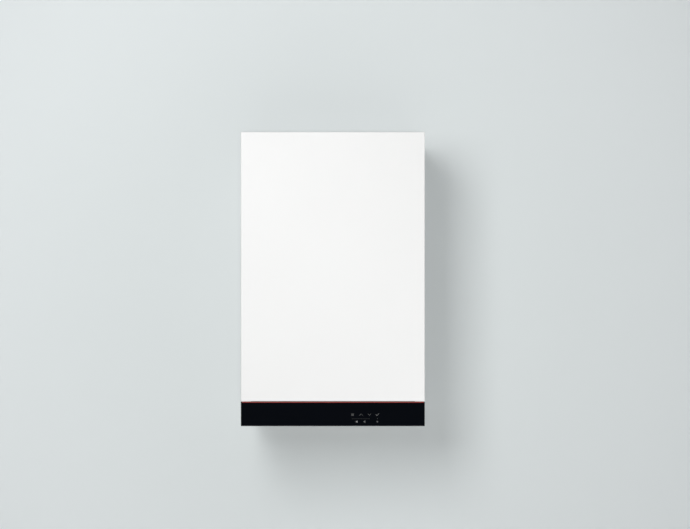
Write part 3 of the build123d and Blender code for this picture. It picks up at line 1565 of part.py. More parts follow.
# ---------------------------------------------------------------- hydraulic blocks
def hydraulic_block(sign, tall_x):
    """Brass block with its manifold, a seat for each of its two legs and a port for the plate exchanger."""
    inner_x = sign * (connection_pitch - manifold_radius)
    outer_x = sign * (2 * connection_pitch + 2 * manifold_radius)
    seats = (
        (sign * 2 * connection_pitch, spigot_large),
        (sign * connection_pitch, spigot_small),
    )
    with BuildPart() as block:
        with BuildSketch(Plane.YZ.offset(inner_x)):
            with Locations((manifold_y, manifold_z)):
                Circle(manifold_radius)
        extrude(amount=outer_x - inner_x)
        chamfer(block.edges(), shell_wall)
        for spigot_x, spigot in seats:
            with BuildSketch(Plane.XY.offset(leg_top_z)):
                with Locations((spigot_x, connection_y)):
                    Circle(spigot + shell_wall)
            extrude(amount=manifold_z - leg_top_z)
            with Locations((spigot_x, (manifold_y + connection_y) / 2, manifold_z)):
                Box(2 * spigot, abs(manifold_y - connection_y) + spigot, 2 * spigot)
        # port towards the plate exchanger
        with BuildSketch(Plane.XZ.offset(-plate_back_y)):
            with Locations((sign * port_x, manifold_z)):
                Circle(port_radius)
        extrude(amount=-(manifold_y - plate_back_y))
        # boss that carries what stands on the block
        with BuildSketch(Plane.XY.offset(manifold_z)):
            with Locations((tall_x, manifold_y)):
                Circle(barrel_radius)
        extrude(amount=manifold_radius + shell_wall * 2)
    return block.part


def leg(spigot_x, spigot, bore):
    """Tube from a block's seat to a collar on the floor, and on through it as a threaded spigot."""
    with BuildPart() as tube:
        with BuildSketch(Plane.XY.offset(leg_top_z)):
            with Locations((spigot_x, connection_y)):
                Circle(spigot + shell_wall)
        extrude(amount=floor_z - leg_top_z)
        add(tail(spigot_x, spigot))
        with BuildSketch(Plane.XY.offset(leg_top_z)):
            with Locations((spigot_x, connection_y)):
                Circle(bore)
        extrude(amount=connection_end_z - leg_top_z, mode=Mode.SUBTRACT)
    return tube.solid()


def block_legs(sign):
    """The two legs of a block: heating on the outside, water on the inside."""
    return (
        leg(sign * 2 * connection_pitch, spigot_large, bore_large),
        leg(sign * connection_pitch, spigot_small, bore_small),
    )


block_top_z = manifold_z + manifold_radius + shell_wall * 2
volute_y = manifold_y
volute_front_y = volute_y - volute_depth / 2
vessel_port_y = chassis_y - vessel_thickness * 0.75
vessel_boss_x = pump_x - 2 * port_radius
with BuildPart() as return_block:
    add(hydraulic_block(1, pump_x))
    # boss of the expansion vessel's pipe
    with BuildSketch(Plane.XY.offset(manifold_z)):
        with Locations((vessel_boss_x, vessel_port_y)):
            Circle(pipe_radius)
    extrude(amount=manifold_radius)
    with Locations((vessel_boss_x, vessel_port_y, manifold_z)):
        Box(
            2 * pipe_radius,
            vessel_port_y - manifold_y,
            pipe_radius * 1.6,
            align=(Align.CENTER, Align.MAX, Align.CENTER),
        )
keep(Compound([return_block.solid(), *block_legs(1)]), "return_block")

flow_port_x = -2 * connection_pitch - manifold_radius - shell_wall
barrel_floor_z = manifold_z - manifold_radius / 2
with BuildPart() as flow_block:
    add(hydraulic_block(-1, diverter_x))
    with BuildSketch(Plane.XY.offset(manifold_z)):
        with Locations((diverter_x, manifold_y)):
            Circle(barrel_radius)
    extrude(amount=barrel_top_z - manifold_z)
    with BuildSketch(Plane.XY.offset(manifold_z)):
        with Locations((flow_port_x, manifold_y)):
            Circle(pipe_radius + shell_wall)
    extrude(amount=manifold_radius + shell_wall * 2)
    # bore of the diverter spindle
    with BuildSketch(Plane.XY.offset(barrel_top_z)):
        with Locations((diverter_x, manifold_y)):
            Circle(barrel_bore)
    extrude(amount=barrel_floor_z - barrel_top_z, mode=Mode.SUBTRACT)
keep(Compound([flow_block.solid(), *block_legs(-1)]), "flow_block")

# ---------------------------------------------------------------- diverter
seat_radius = barrel_bore - switch_gap
spindle_bottom_z = barrel_floor_z + soft_gap
with BuildPart() as diverter_spindle:
    with BuildSketch(Plane.XY.offset(spindle_bottom_z + spindle_travel)):
        with Locations((diverter_x, manifold_y)):
            Circle(seat_radius)
    extrude(amount=seat_height)
    chamfer(diverter_spindle.edges(), shell_wall / 2)
    with BuildSketch(Plane.XY.offset(spindle_bottom_z + spindle_travel + seat_height * 2.5)):
        with Locations((diverter_x, manifold_y)):
            Circle(seat_radius)
    extrude(amount=seat_height / 2)
    with BuildSketch(Plane.XY.offset(spindle_bottom_z + spindle_travel)):
        with Locations((diverter_x, manifold_y)):
            Circle(spindle_radius)
    extrude(amount=barrel_top_z + actuator_height / 3 - spindle_bottom_z - spindle_travel)
keep(diverter_spindle.part, "diverter_spindle")

with BuildPart() as diverter_actuator:
    with Locations((diverter_x, manifold_y, barrel_top_z)):
        Box(
            actuator_width,
            actuator_width,
            actuator_height,
            align=(Align.CENTER, Align.CENTER, Align.MIN),
        )
    fillet(diverter_actuator.edges().filter_by(Axis.Z), door_gauge)
    chamfer(diverter_actuator.edges().group_by(Axis.Z)[-1], shell_wall)
    # bayonet skirt under the motor and the plug socket on its front
    with BuildSketch(Plane.XY.offset(barrel_top_z)):
        with Locations((diverter_x, manifold_y)):
            Circle(barrel_radius + shell_wall)
            Circle(barrel_radius + running_gap, mode=Mode.SUBTRACT)
    extrude(amount=-seat_height)
    with Locations((diverter_x, manifold_y - actuator_width / 2, barrel_top_z + actuator_height / 2)):
        Box(actuator_width / 2, seat_height, actuator_height / 3)
    with BuildSketch(Plane.XY.offset(barrel_top_z)):
        with Locations((diverter_x, manifold_y)):
            Circle(spindle_radius + running_gap)
    extrude(amount=actuator_height / 3 + spindle_travel + soft_gap, mode=Mode.SUBTRACT)
keep(diverter_actuator.part, "diverter_actuator")

# ---------------------------------------------------------------- pump
discharge_top_z = pump_z + volute_radius + shell_wall * 2
with BuildPart() as pump_volute:
    with BuildSketch(Plane.XZ.offset(-volute_y - volute_depth / 2)):
        with Locations((pump_x, pump_z)):
            Circle(volute_radius)
    extrude(amount=volute_depth)
    chamfer(pump_volute.edges().group_by(Axis.Y)[-1], door_gauge)
    # discharge on top and suction down to the return block
    with BuildSketch(Plane.XY.offset(pump_z)):
        with Locations((discharge_x, volute_y)):
            Circle(pipe_radius + shell_wall)
    extrude(amount=discharge_top_z - pump_z)
    with BuildSketch(Plane.XY.offset(block_top_z)):
        with Locations((pump_x, volute_y)):
            Circle(barrel_radius)
    extrude(amount=pump_z - volute_radius / 2 - block_top_z)
    # automatic air vent
    with BuildSketch(Plane.XY.offset(pump_z)):
        with Locations((pump_x - volute_radius * 0.6, volute_y)):
            Circle(port_radius)
    extrude(amount=volute_radius + 2 * port_radius)
    with BuildSketch(Plane.XZ.offset(-volute_front_y)):
        with Locations((pump_x, pump_z)):
            Circle(rotor_radius + rotor_gap)
    extrude(amount=-volute_depth + 2 * rotor_wall, mode=Mode.SUBTRACT)
keep(pump_volute.part, "pump_volute")

with BuildPart() as pump_motor:
    with BuildSketch(Plane.XZ.offset(-volute_front_y)):
        with Locations((pump_x, pump_z)):
            Circle(pump_motor_radius)
    extrude(amount=pump_motor_length)
    # square flange bolted to the volute
    with BuildSketch(Plane.XZ.offset(-volute_front_y)):
        with Locations((pump_x, pump_z)):
            RectangleRounded(2 * volute_radius - rotor_wall, 2 * volute_radius - rotor_wall, door_gauge * 2)
    extrude(amount=door_gauge)
    with BuildSketch(Plane.XZ.offset(-volute_front_y + door_gauge)):
        with Locations((pump_x, pump_z)):
            with PolarLocations(pump_motor_radius, 10, start_angle=9):
                Rectangle(door_gauge, shell_wall)
    extrude(amount=pump_motor_length * 0.6)
    # terminal box with its speed dial
    with Locations((pump_x, volute_front_y - pump_motor_length, pump_z)):
        Box(pump_box, pump_box_depth, pump_box, align=(Align.CENTER, Align.MAX, Align.CENTER))
    box_front = pump_motor.faces().sort_by(Axis.Y)[0]
    chamfer(box_front.edges(), shell_wall)
    with BuildSketch(Plane.XZ.offset(-volute_front_y + pump_motor_length + pump_box_depth)):
        with Locations((pump_x, pump_z)):
            Circle(pump_box / 6)
    extrude(amount=shell_wall)
    with BuildSketch(Plane.XZ.offset(-volute_front_y)):
        with Locations((pump_x, pump_z)):
            Circle(rotor_shaft_radius + running_gap)
    extrude(amount=pump_motor_length * 0.7, mode=Mode.SUBTRACT)
keep(pump_motor.part, "pump_motor")

rotor_depth = volute_depth - 2 * rotor_wall - 4 * rotor_gap
with BuildPart() as pump_impeller:
    with BuildSketch(Plane.XZ.offset(-volute_front_y - rotor_gap - rotor_wall)):
        with Locations((pump_x, pump_z)):
            Circle(rotor_radius)
    extrude(amount=rotor_wall)
    with BuildSketch(Plane.XZ.offset(-volute_front_y - rotor_gap - rotor_wall)):
        with Locations((pump_x, pump_z)):
            with PolarLocations(rotor_radius * 0.6, 6):
                Rectangle(rotor_radius * 0.7, rotor_wall / 2, rotation=25)
            Circle(rotor_shaft_radius * 2)
    extrude(amount=-rotor_depth + rotor_wall)
    with BuildSketch(Plane.XZ.offset(-volute_front_y - rotor_gap)):
        with Locations((pump_x, pump_z)):
            Circle(rotor_shaft_radius)
    extrude(amount=pump_motor_length * 0.6)
keep(pump_impeller.part, "pump_impeller")

# ---------------------------------------------------------------- relief valve
relief_front_y = manifold_y - manifold_radius - relief_radius
with BuildPart() as relief_valve:
    with BuildSketch(Plane.XY.offset(manifold_z + relief_radius)):
        with Locations((relief_x, manifold_y)):
            Circle(pipe_radius)
    extrude(amount=bottom_z - manifold_z - relief_radius)
    with BuildSketch(Plane.YZ.offset(block_end_x)):
        with Locations((manifold_y, manifold_z)):
            Circle(pipe_radius * 0.8)
    extrude(amount=relief_x - block_end_x)
    with BuildSketch(Plane.XZ.offset(-manifold_y - relief_radius)):
        with Locations((relief_x, manifold_z)):
            Circle(relief_radius)
    extrude(amount=manifold_y - relief_front_y + relief_radius)
    with BuildSketch(Plane.XZ.offset(-relief_front_y - relief_radius)):
        with Locations((relief_x, manifold_z)):
            RegularPolygon(relief_radius * 1.3, 6)
    extrude(amount=relief_radius / 2)
    with BuildSketch(Plane.XZ.offset(-relief_front_y)):
        with Locations((relief_x, manifold_z)):
            Circle(stem_radius)
    extrude(amount=knob_length * 0.7)
keep(relief_valve.part, "relief_valve")

with BuildPart() as relief_knob:
    with BuildSketch(Plane.XZ.offset(-relief_front_y + seam)):
        with Locations((relief_x, manifold_z)):
            Circle(relief_radius * 1.4)
    extrude(amount=knob_length)
    chamfer(relief_knob.edges().group_by(Axis.Y)[0], shell_wall / 2)
    # finger flutes
    with BuildSketch(Plane.XZ.offset(-relief_front_y + seam)):
        with Locations((relief_x, manifold_z)):
            with PolarLocations(relief_radius * 1.55, 8):
                Circle(shell_wall)
    extrude(amount=knob_length, mode=Mode.SUBTRACT)
    with BuildSketch(Plane.XZ.offset(-relief_front_y + seam)):
        with Locations((relief_x, manifold_z)):
            Circle(stem_radius + running_gap)
    extrude(amount=knob_length * 0.75, mode=Mode.SUBTRACT)
keep(relief_knob.part, "relief_knob")

# ---------------------------------------------------------------- water pipes
header_end_x = shell_radius + header_reach
flow_route = [
    (-header_end_x, header_y, flow_header_z),
    (flow_port_x, header_y, flow_header_z),
    (flow_port_x, manifold_y, block_top_z),
]
keep(bent_tube(flow_route, pipe_radius, pipe_bend / 2), "flow_pipe")
discharge_route = [
    (discharge_x, volute_y, discharge_top_z),
    (discharge_x, header_y, return_header_z),
    (header_end_x, header_y, return_header_z),
]
keep(bent_tube(discharge_route, pipe_radius, pipe_bend / 2), "return_pipe")
vessel_route = [
    (vessel_port_x, vessel_port_y, vessel_bottom_z - vessel_rim),
    (vessel_port_x, vessel_port_y, vessel_bottom_z - 4 * pipe_bend / 2),
    (vessel_boss_x, vessel_port_y, manifold_z + 4 * pipe_bend / 2),
    (vessel_boss_x, vessel_port_y, manifold_z + manifold_radius),
]
keep(bent_tube(vessel_route, pipe_radius * 0.6, pipe_bend), "vessel_pipe")

# ---------------------------------------------------------------- sensors
with BuildPart() as clip_sensors:
    for pipe_x, clip_z in (
        (flow_port_x, flow_header_z - clip_drop),
        (discharge_x, return_header_z - clip_drop),
    ):
        with BuildSketch(Plane.XY.offset(clip_z)):
            with Locations((pipe_x, header_y)):
                Circle(pipe_radius + clip_wall + running_gap)
                Circle(pipe_radius + running_gap, mode=Mode.SUBTRACT)
                Rectangle(pipe_radius, 2 * pipe_radius, align=(Align.CENTER, Align.MIN), mode=Mode.SUBTRACT)
            with Locations((pipe_x, header_y - pipe_radius - clip_wall)):
                Rectangle(pipe_radius, pipe_radius, align=(Align.CENTER, Align.MAX))
        extrude(amount=clip_height)
keep(clip_sensors.part, "clip_sensors")

# ---------------------------------------------------------------- lock nuts of the spigots
with BuildPart() as lock_nuts:
    for nut_x, spigot in (
        *((x, spigot_large) for x in large_xs),
        *((x, spigot_small) for x in small_xs),
    ):
        with BuildSketch(Plane.XY.offset(floor_z - chassis_sheet)):
            with Locations((nut_x, connection_y)):
                RegularPolygon(spigot * 1.35, 6)
                Circle(spigot - thread_relief + running_gap, mode=Mode.SUBTRACT)
        extrude(amount=-nut_height)
keep(lock_nuts.part, "lock_nuts")

# ---------------------------------------------------------------- screws of the casing
with BuildPart() as case_screws:
    # flue flange
    for corner in range(4):
        angle = pi / 4 + corner * pi / 2
        with BuildSketch(Plane.XY.offset(top_z + flue_flange_gauge)):
            with Locations((flue_flange_radius * cos(angle), flue_y + flue_flange_radius * sin(angle))):
                Circle(screw_radius)
        extrude(amount=screw_head)
    # along both sides of the top panel
    for sign in (-1, 1):
        for screw_y in (side_front_y * 0.25, side_front_y * 0.75):
            with BuildSketch(Plane.XY.offset(top_z)):
                with Locations((sign * (half_width - flange_width), screw_y)):
                    Circle(screw_radius)
            extrude(amount=screw_head)
keep(case_screws.part, "case_screws")
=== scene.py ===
# %% [markdown]
# # Dressing a wall-hung combi boiler
# The boiler comes from CAD as sixty rigid pieces: a folded white casing, a black control strip and all
# the works inside. This lesson gives every piece the finish of the real one, adds the small things that
# CAD leaves out, such as printed key symbols and screw recesses, and sets up the wall, lights and camera.
# The first step loads the CAD pieces. They stay where they are: a finished boiler is only dressed here.

from math import atan2, cos, hypot, pi, radians, sin

import bpy
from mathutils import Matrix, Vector


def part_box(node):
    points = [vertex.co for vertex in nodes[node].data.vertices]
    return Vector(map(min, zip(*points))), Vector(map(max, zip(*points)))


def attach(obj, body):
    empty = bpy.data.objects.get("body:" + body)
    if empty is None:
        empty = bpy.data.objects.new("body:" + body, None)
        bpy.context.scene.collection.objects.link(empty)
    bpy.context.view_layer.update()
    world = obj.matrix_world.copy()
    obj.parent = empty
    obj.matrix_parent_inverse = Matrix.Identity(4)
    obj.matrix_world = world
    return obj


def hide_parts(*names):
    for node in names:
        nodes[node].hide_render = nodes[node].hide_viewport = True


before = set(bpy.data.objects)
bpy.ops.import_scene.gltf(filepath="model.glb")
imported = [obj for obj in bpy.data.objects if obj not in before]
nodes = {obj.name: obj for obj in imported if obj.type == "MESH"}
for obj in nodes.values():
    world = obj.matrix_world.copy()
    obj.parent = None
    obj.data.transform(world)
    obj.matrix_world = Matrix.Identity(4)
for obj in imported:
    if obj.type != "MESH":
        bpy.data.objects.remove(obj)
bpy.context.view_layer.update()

# %% [markdown]
# ## The camera
# A product picture of a boiler is taken square on, from a few metres away, so that the casing stays a
# plain rectangle and its sides, its flue and its pipes stay out of sight. One real length gives the scale:
# the casing is 450 mm wide and covers 183.93 of the picture's 690 pixels. The lens's axis goes through the
# middle of the picture, which is a little right of the casing's middle and above its lower half, so the
# camera stands there and needs neither turn nor shift.

# %% Place the camera square on to the casing
picture_width, picture_height = 690, 529
casing_left_px, casing_right_px, casing_top_px = 240.87, 424.80, 131.85
camera_distance = 3.0  # from the casing's front

panel_low, panel_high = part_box("front_panel")
front_y = panel_low.y
pixel = (panel_high.x - panel_low.x) / (casing_right_px - casing_left_px)
camera_x = (picture_width - casing_left_px - casing_right_px) / 2 * pixel
camera_z = panel_high.z - (picture_height / 2 - casing_top_px) * pixel

bpy.ops.object.camera_add(location=(camera_x, front_y - camera_distance, camera_z), rotation=(pi / 2, 0, 0))
camera = bpy.context.object
camera.name = "camera"
camera.data.sensor_width = 36
camera.data.lens = camera.data.sensor_width * camera_distance / (picture_width * pixel)
bpy.context.scene.camera = camera
print("one pixel is", round(pixel * 1000, 3), "mm, the lens is", round(camera.data.lens, 1), "mm")

# %% [markdown]
# ## Arithmetic for shaders
# A finish is a small graph of shader nodes. Wiring Math nodes by hand hides what they work out, so a
# socket is wrapped in a class with Python's own operators: `1 - mask` then adds a Subtract node. Colours
# don't go through it, because a Math node would turn them grey: they have `mix`.

# %% A socket with Python's operators
class Value:
    """A number that changes from place to place: the socket that carries it, with arithmetic."""

    def __init__(self, graph, socket):
        self.graph, self.socket = graph, socket

    def math(self, operation, *values):
        return self.graph.add("ShaderNodeMath", {"operation": operation}, dict(enumerate(values)))

    def __add__(self, other):
        return self.math("ADD", self, other)

    def __radd__(self, other):
        return self.math("ADD", other, self)

    def __sub__(self, other):
        return self.math("SUBTRACT", self, other)

    def __rsub__(self, other):
        return self.math("SUBTRACT", other, self)

    def __mul__(self, other):
        return self.math("MULTIPLY", self, other)

    def __rmul__(self, other):
        return self.math("MULTIPLY", other, self)

    def __truediv__(self, other):
        return self.math("DIVIDE", self, other)

    def __gt__(self, other):
        return self.math("GREATER_THAN", self, other)

    def __lt__(self, other):
        return self.math("LESS_THAN", self, other)


print("shader arithmetic is ready")

# %% [markdown]
# ## Growing a node graph
# Every node is added in one way: its kind, its settings, then the values or links of its inputs. Settings
# come first, because some, such as the kind of a Mix node, change which inputs there are. The same small
# class serves the finishes and, at the end, the world.

# %% A graph that grows by whole nodes
class Graph:
    """A node tree, with one method that adds a node and one that fills an input."""

    def __init__(self, tree):
        self.tree = tree

    def add(self, kind, settings=None, inputs=None, output=0):
        """Adds a node: its settings first, then the values or links of its inputs."""
        node = self.tree.nodes.new(kind)
        for name, setting in (settings or {}).items():
            setattr(node, name, setting)
        for key, value in (inputs or {}).items():
            self.feed(value, node.inputs[key])
        return Value(self, node.outputs[output])

    def feed(self, value, socket):
        """Links a value to an input, or sets the input where the value is plain."""
        if isinstance(value, Value):
            self.tree.links.new(value.socket, socket)
        else:
            socket.default_value = value


print("graphs can be grown")

# %% [markdown]
# ## One finish, one class
# Every finish starts from the Principled shader and from Object coordinates, which are metres in the
# boiler's own frame. So a noise of size 0.001 has grains of a millimetre on every piece, and the pattern
# stays on the piece when the piece moves. What is the same all over is set on the shader itself.

# %% A finish and the patterns it is made from
class Finish(Graph):
    """A material: the Principled shader, with what varies linked and what doesn't set on it."""

    def __init__(self, name, **constants):
        self.material = bpy.data.materials.new(name)
        self.material.use_nodes = True
        super().__init__(self.material.node_tree)
        self.shader = self.tree.nodes["Principled BSDF"]
        for socket, value in constants.items():
            self.shader.inputs[socket.replace("_", " ")].default_value = value
        self.place = self.add("ShaderNodeTexCoord", output="Object")

    def set(self, **varying):
        """Links what varies to the Principled shader."""
        for socket, value in varying.items():
            self.feed(value, self.shader.inputs[socket.replace("_", " ")])

    def stretched(self, x=1.0, y=1.0, z=1.0):
        """Coordinates drawn out along an axis: a scale under 1 makes the pattern longer there."""
        return self.add("ShaderNodeMapping", None, {"Vector": self.place, "Scale": (x, y, z)})

    def noise(self, size, detail=3.0, place=None):
        """Cloudy grain, with features about that many metres across."""
        inputs = {"Vector": place or self.place, "Scale": 1 / size, "Detail": detail}
        return self.add("ShaderNodeTexNoise", None, inputs)

    def cells(self, size, output="Distance"):
        """Cells about that many metres across, such as the spangles of zinc."""
        return self.add("ShaderNodeTexVoronoi", None, {"Vector": self.place, "Scale": 1 / size}, output)

    def along(self, axis):
        """Distance from the origin along an axis, in metres."""
        return self.add("ShaderNodeSeparateXYZ", None, {"Vector": self.place}, axis)

    def step(self, value, low, high):
        """A soft step from 0 to 1 while value goes from low to high."""
        inputs = {"Value": value, "From Min": low, "From Max": high}
        return self.add("ShaderNodeMapRange", {"interpolation_type": "SMOOTHSTEP"}, inputs)

    def mix(self, share, first, second):
        """A colour between two."""
        inputs = {0: share, 6: first, 7: second}
        return self.add("ShaderNodeMix", {"data_type": "RGBA"}, inputs, 2)

    def bump(self, height, strength, depth):
        """Links a height to the normal. depth is the bump's height in metres."""
        inputs = {"Height": height, "Strength": strength, "Distance": depth}
        self.set(Normal=self.add("ShaderNodeBump", None, inputs))


def grey(level, tint=(1.0, 1.0, 1.0)):
    """A grey of that level, with a tint."""
    return (*(level * part for part in tint), 1.0)


def dress(finish, *names):
    """Gives CAD nodes a finish, through their material slots."""
    for name in names:
        for slot in nodes[name].material_slots:
            slot.material = finish.material
    dressed.update(names)
    print(finish.material.name, "on", ", ".join(names))


dressed = set()
print("finishes can be made for", len(nodes), "nodes")

# %% [markdown]
# ## The white casing
# The casing is sheet steel with a smooth satin powder coat. Powder melts and flows, but never quite flat:
# under a low light it shows the faint ripple called orange peel, a millimetre or two across. The coat is
# an even warm white whose colour hardly changes, so the ripple and a small change in gloss do the work. The
# ripple is a bump, far too low for real geometry.

# %% Powder coat
powder = Finish("powder_coat", Specular_IOR_Level=0.25)
drift = powder.noise(0.22, 2)
powder.set(
    Base_Color=powder.mix(drift, (0.752, 0.752, 0.745, 1), (0.772, 0.772, 0.765, 1)),
    Roughness=powder.noise(0.03, 4) * 0.08 + 0.44,
)
powder.bump(powder.noise(0.0016, 2) + powder.noise(0.006, 1) * 2, 0.25, 0.00006)
dress(powder, "front_panel", "side_panel_left", "side_panel_right", "top_panel")

# %% [markdown]
# ## The control strip
# The strip under the panel is moulded in black and has a clear hard coat that is as smooth as glass but
# reflects little, so that the keys can be read. Its body colour is nearly black with a trace of blue.
# A polished part is never quite even: wiping leaves faint streaks that only the roughness shows.

# %% Black fascia
fascia = Finish("black_fascia", Specular_IOR_Level=0.03, IOR=1.49)
wiping = fascia.noise(0.05, 4, fascia.stretched(0.35, 1, 1))
fascia.set(
    Base_Color=fascia.mix(wiping, (0.0007, 0.0012, 0.0024, 1), (0.0013, 0.0019, 0.0034, 1)),
    Roughness=wiping * 0.07 + 0.06,
)
dress(fascia, "control_fascia")

# %% [markdown]
# ## The coloured line
# A line of orange-red plastic, two millimetres high, runs along the top edge of the strip. It is coloured
# all through, with a satin skin from its mould. From where the picture is taken it is thinner than a pixel,
# and it reads as a deep red, so the colour is written darker than a bright red plastic would be.

# %% Orange-red line
line = Finish("orange_red_line", Specular_IOR_Level=0.3)
line.set(
    Base_Color=line.mix(line.noise(0.02, 3), (0.27, 0.042, 0.034, 1), (0.31, 0.052, 0.042, 1)),
    Roughness=line.noise(0.004, 2) * 0.1 + 0.36,
)
dress(line, "accent_strip")

# %% [markdown]
# ## Moulded plastics
# The housings behind the strip, the switch and the cable glands are matt black mouldings. Their moulds are
# spark eroded, which leaves a fine, even grain a third of a millimetre across. Parts that get hot or carry
# load are filled with glass fibre, which clouds the surface with short pale streaks along the flow. Both
# are the same recipe with other numbers, so one function makes them.

# %% Moulded plastic, plain or glass filled
def moulded(name, colour, roughness, grain=0.00035, fibre=0.0):
    """Plastic with spark-eroded grain. fibre is how much paler the glass streaks are."""
    finish = Finish(name)
    streaks = finish.noise(0.004, 6, finish.stretched(1, 1, 0.25))
    clouds = finish.noise(0.035, 3)
    pale = tuple(min(1.0, part * (1.12 + fibre) + fibre * 0.05) for part in colour[:3]) + (1.0,)
    finish.set(
        Base_Color=finish.mix(streaks * 0.6 + clouds * 0.4, colour, pale),
        Roughness=clouds * 0.1 + roughness,
    )
    finish.bump(finish.noise(grain, 2), 0.35, 0.00004)
    return finish


black_plastic = moulded("black_moulding", (0.016, 0.0165, 0.018, 1), 0.48)
dress(black_plastic, "control_housing", "switch_body", "ignition_transformer")
dress(moulded("black_nylon", (0.011, 0.011, 0.012, 1), 0.38, 0.0006), "cable_glands")
dress(moulded("grey_cover", (0.085, 0.088, 0.093, 1), 0.45), "control_cover")
dress(
    moulded("glass_filled_grey", (0.050, 0.052, 0.056, 1), 0.50, 0.0005, fibre=0.6),
    "fan_scroll", "fan_impeller", "pump_impeller", "diverter_actuator", "clip_sensors",
)
dress(moulded("glass_filled_black", (0.018, 0.018, 0.020, 1), 0.46, 0.0005, fibre=0.5), "pump_volute")
dress(moulded("soft_black_duct", (0.022, 0.022, 0.024, 1), 0.62, 0.0008), "air_silencer")
dress(moulded("white_flue_plastic", (0.72, 0.72, 0.70, 1), 0.36, 0.0012), "flue_socket", "flue_riser")
dress(moulded("milky_trap", (0.50, 0.53, 0.54, 1), 0.30, 0.0012), "condensate_trap")
dress(moulded("red_caps", (0.50, 0.018, 0.012, 1), 0.30, 0.0009), "relief_knob", "test_point_caps")
dress(moulded("rocker_black", (0.009, 0.009, 0.010, 1), 0.22, 0.0012), "power_rocker")

# %% [markdown]
# ## Galvanised sheet
# The chassis is bent from steel that was dipped in zinc. Zinc freezes in flat crystals, the spangle, a few
# millimetres across, and each crystal reflects a little differently. Voronoi cells have that look: the
# colour of a cell is the same all over it, so it sets both the shade and the gloss of one crystal.

# %% Galvanised steel
zinc = Finish("galvanised_steel", Metallic=1.0)
spangle = zinc.add("ShaderNodeSeparateColor", None, {"Color": zinc.cells(0.009, "Color")})
grain = zinc.noise(0.002, 3)
zinc.set(
    Base_Color=zinc.mix(spangle * 0.75 + grain * 0.25, (0.55, 0.57, 0.59, 1), (0.67, 0.69, 0.70, 1)),
    Roughness=spangle * 0.09 + grain * 0.06 + 0.33,
)
zinc.bump(zinc.cells(0.009), 0.2, 0.00005)
dress(
    zinc,
    "back_panel", "wall_bracket", "bottom_panel", "lower_crossbar", "hinge_brackets", "exchanger_support",
)

# %% [markdown]
# ## Bare metals
# The works inside are stainless steel, cast aluminium, brass and copper. All are fully metallic: their
# colour is the colour of their reflection, and what tells them apart is how they were made. Rolled and
# drawn steel has fine lines, a casting has a sandy skin, and copper tube darkens in clouds where it was
# handled. One function takes the colour, the size of the grain and how far it is drawn out.

# %% Metals by colour and grain
def metal(name, dark, light, roughness, grain, drawn=(1.0, 1.0, 1.0), relief=0.00003, clouds=0.05):
    """Bare metal. drawn stretches the grain along an axis, clouds is the size of the tarnish."""
    finish = Finish(name, Metallic=1.0)
    lines = finish.noise(grain, 4, finish.stretched(*drawn))
    tarnish = finish.noise(clouds, 4)
    finish.set(
        Base_Color=finish.mix(finish.step(tarnish, 0.35, 0.7), dark, light),
        Roughness=lines * 0.16 + tarnish * 0.12 + roughness,
    )
    finish.bump(lines, 0.3, relief)
    return finish


drawn_steel = metal(
    "stainless_steel", (0.50, 0.49, 0.47, 1), (0.62, 0.61, 0.59, 1), 0.14, 0.0012, (1, 0.04, 1)
)
dress(drawn_steel, "exchanger_shell", "exchanger_coil", "burner", "plate_exchanger")
cast = metal("cast_aluminium", (0.40, 0.41, 0.42, 1), (0.52, 0.52, 0.53, 1), 0.40, 0.0014, relief=0.00012)
dress(cast, "burner_door", "fan_motor", "gas_air_mixer", "premix_duct", "gas_valve")
copper = metal("copper_tube", (0.56, 0.22, 0.11, 1), (0.83, 0.40, 0.25, 1), 0.18, 0.0016, (1, 1, 0.08))
dress(copper, "gas_feed_pipe", "flow_pipe", "return_pipe", "vessel_pipe")
spring = metal("spring_steel", (0.20, 0.21, 0.23, 1), (0.34, 0.35, 0.37, 1), 0.22, 0.001, (1, 0.1, 1))
dress(spring, "panel_clips")
plated = metal("yellow_zinc", (0.58, 0.52, 0.36, 1), (0.70, 0.68, 0.60, 1), 0.20, 0.002, clouds=0.012)
dress(plated, "door_nuts")

# %% [markdown]
# ## Brass with a thread
# The water blocks are forged brass with a dull skin, but the spigots under the floor are turned bright and
# carry a pipe thread, 14 turns to the inch. At this scale a thread is a band of ridges round the spigot:
# a sawtooth along the height, used as a bump, and only below the lock nuts. Real threads climb as they go
# round, but at a pitch under two millimetres level rings read the same.

# %% Forged and turned brass
thread_pitch = 0.0018
thread_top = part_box("lock_nuts")[0].z - 0.0005
brass = Finish("brass", Metallic=1.0)
height = brass.along("Z")
turned = height < thread_top
skin = brass.noise(0.0015, 4)
age = brass.noise(0.03, 4)
ridge = (height / thread_pitch).math("PINGPONG", height / thread_pitch, 0.5)
brass.set(
    Base_Color=brass.mix(brass.step(age, 0.35, 0.7), (0.56, 0.36, 0.13, 1), (0.76, 0.55, 0.26, 1)),
    Roughness=(1 - turned) * (skin * 0.2 + 0.26) + turned * 0.2,
)
brass.bump((1 - turned) * skin * 0.12 + turned * ridge, 0.8, 0.0009)
dress(brass, "return_block", "flow_block", "relief_valve", "lock_nuts", "diverter_spindle")

# %% [markdown]
# The gas inlet is one CAD piece of two metals: a copper pipe that is brazed into a brass tail with a hexagon
# over the floor. So its finish is both, mixed by height, with the joint at the top of the hexagon.

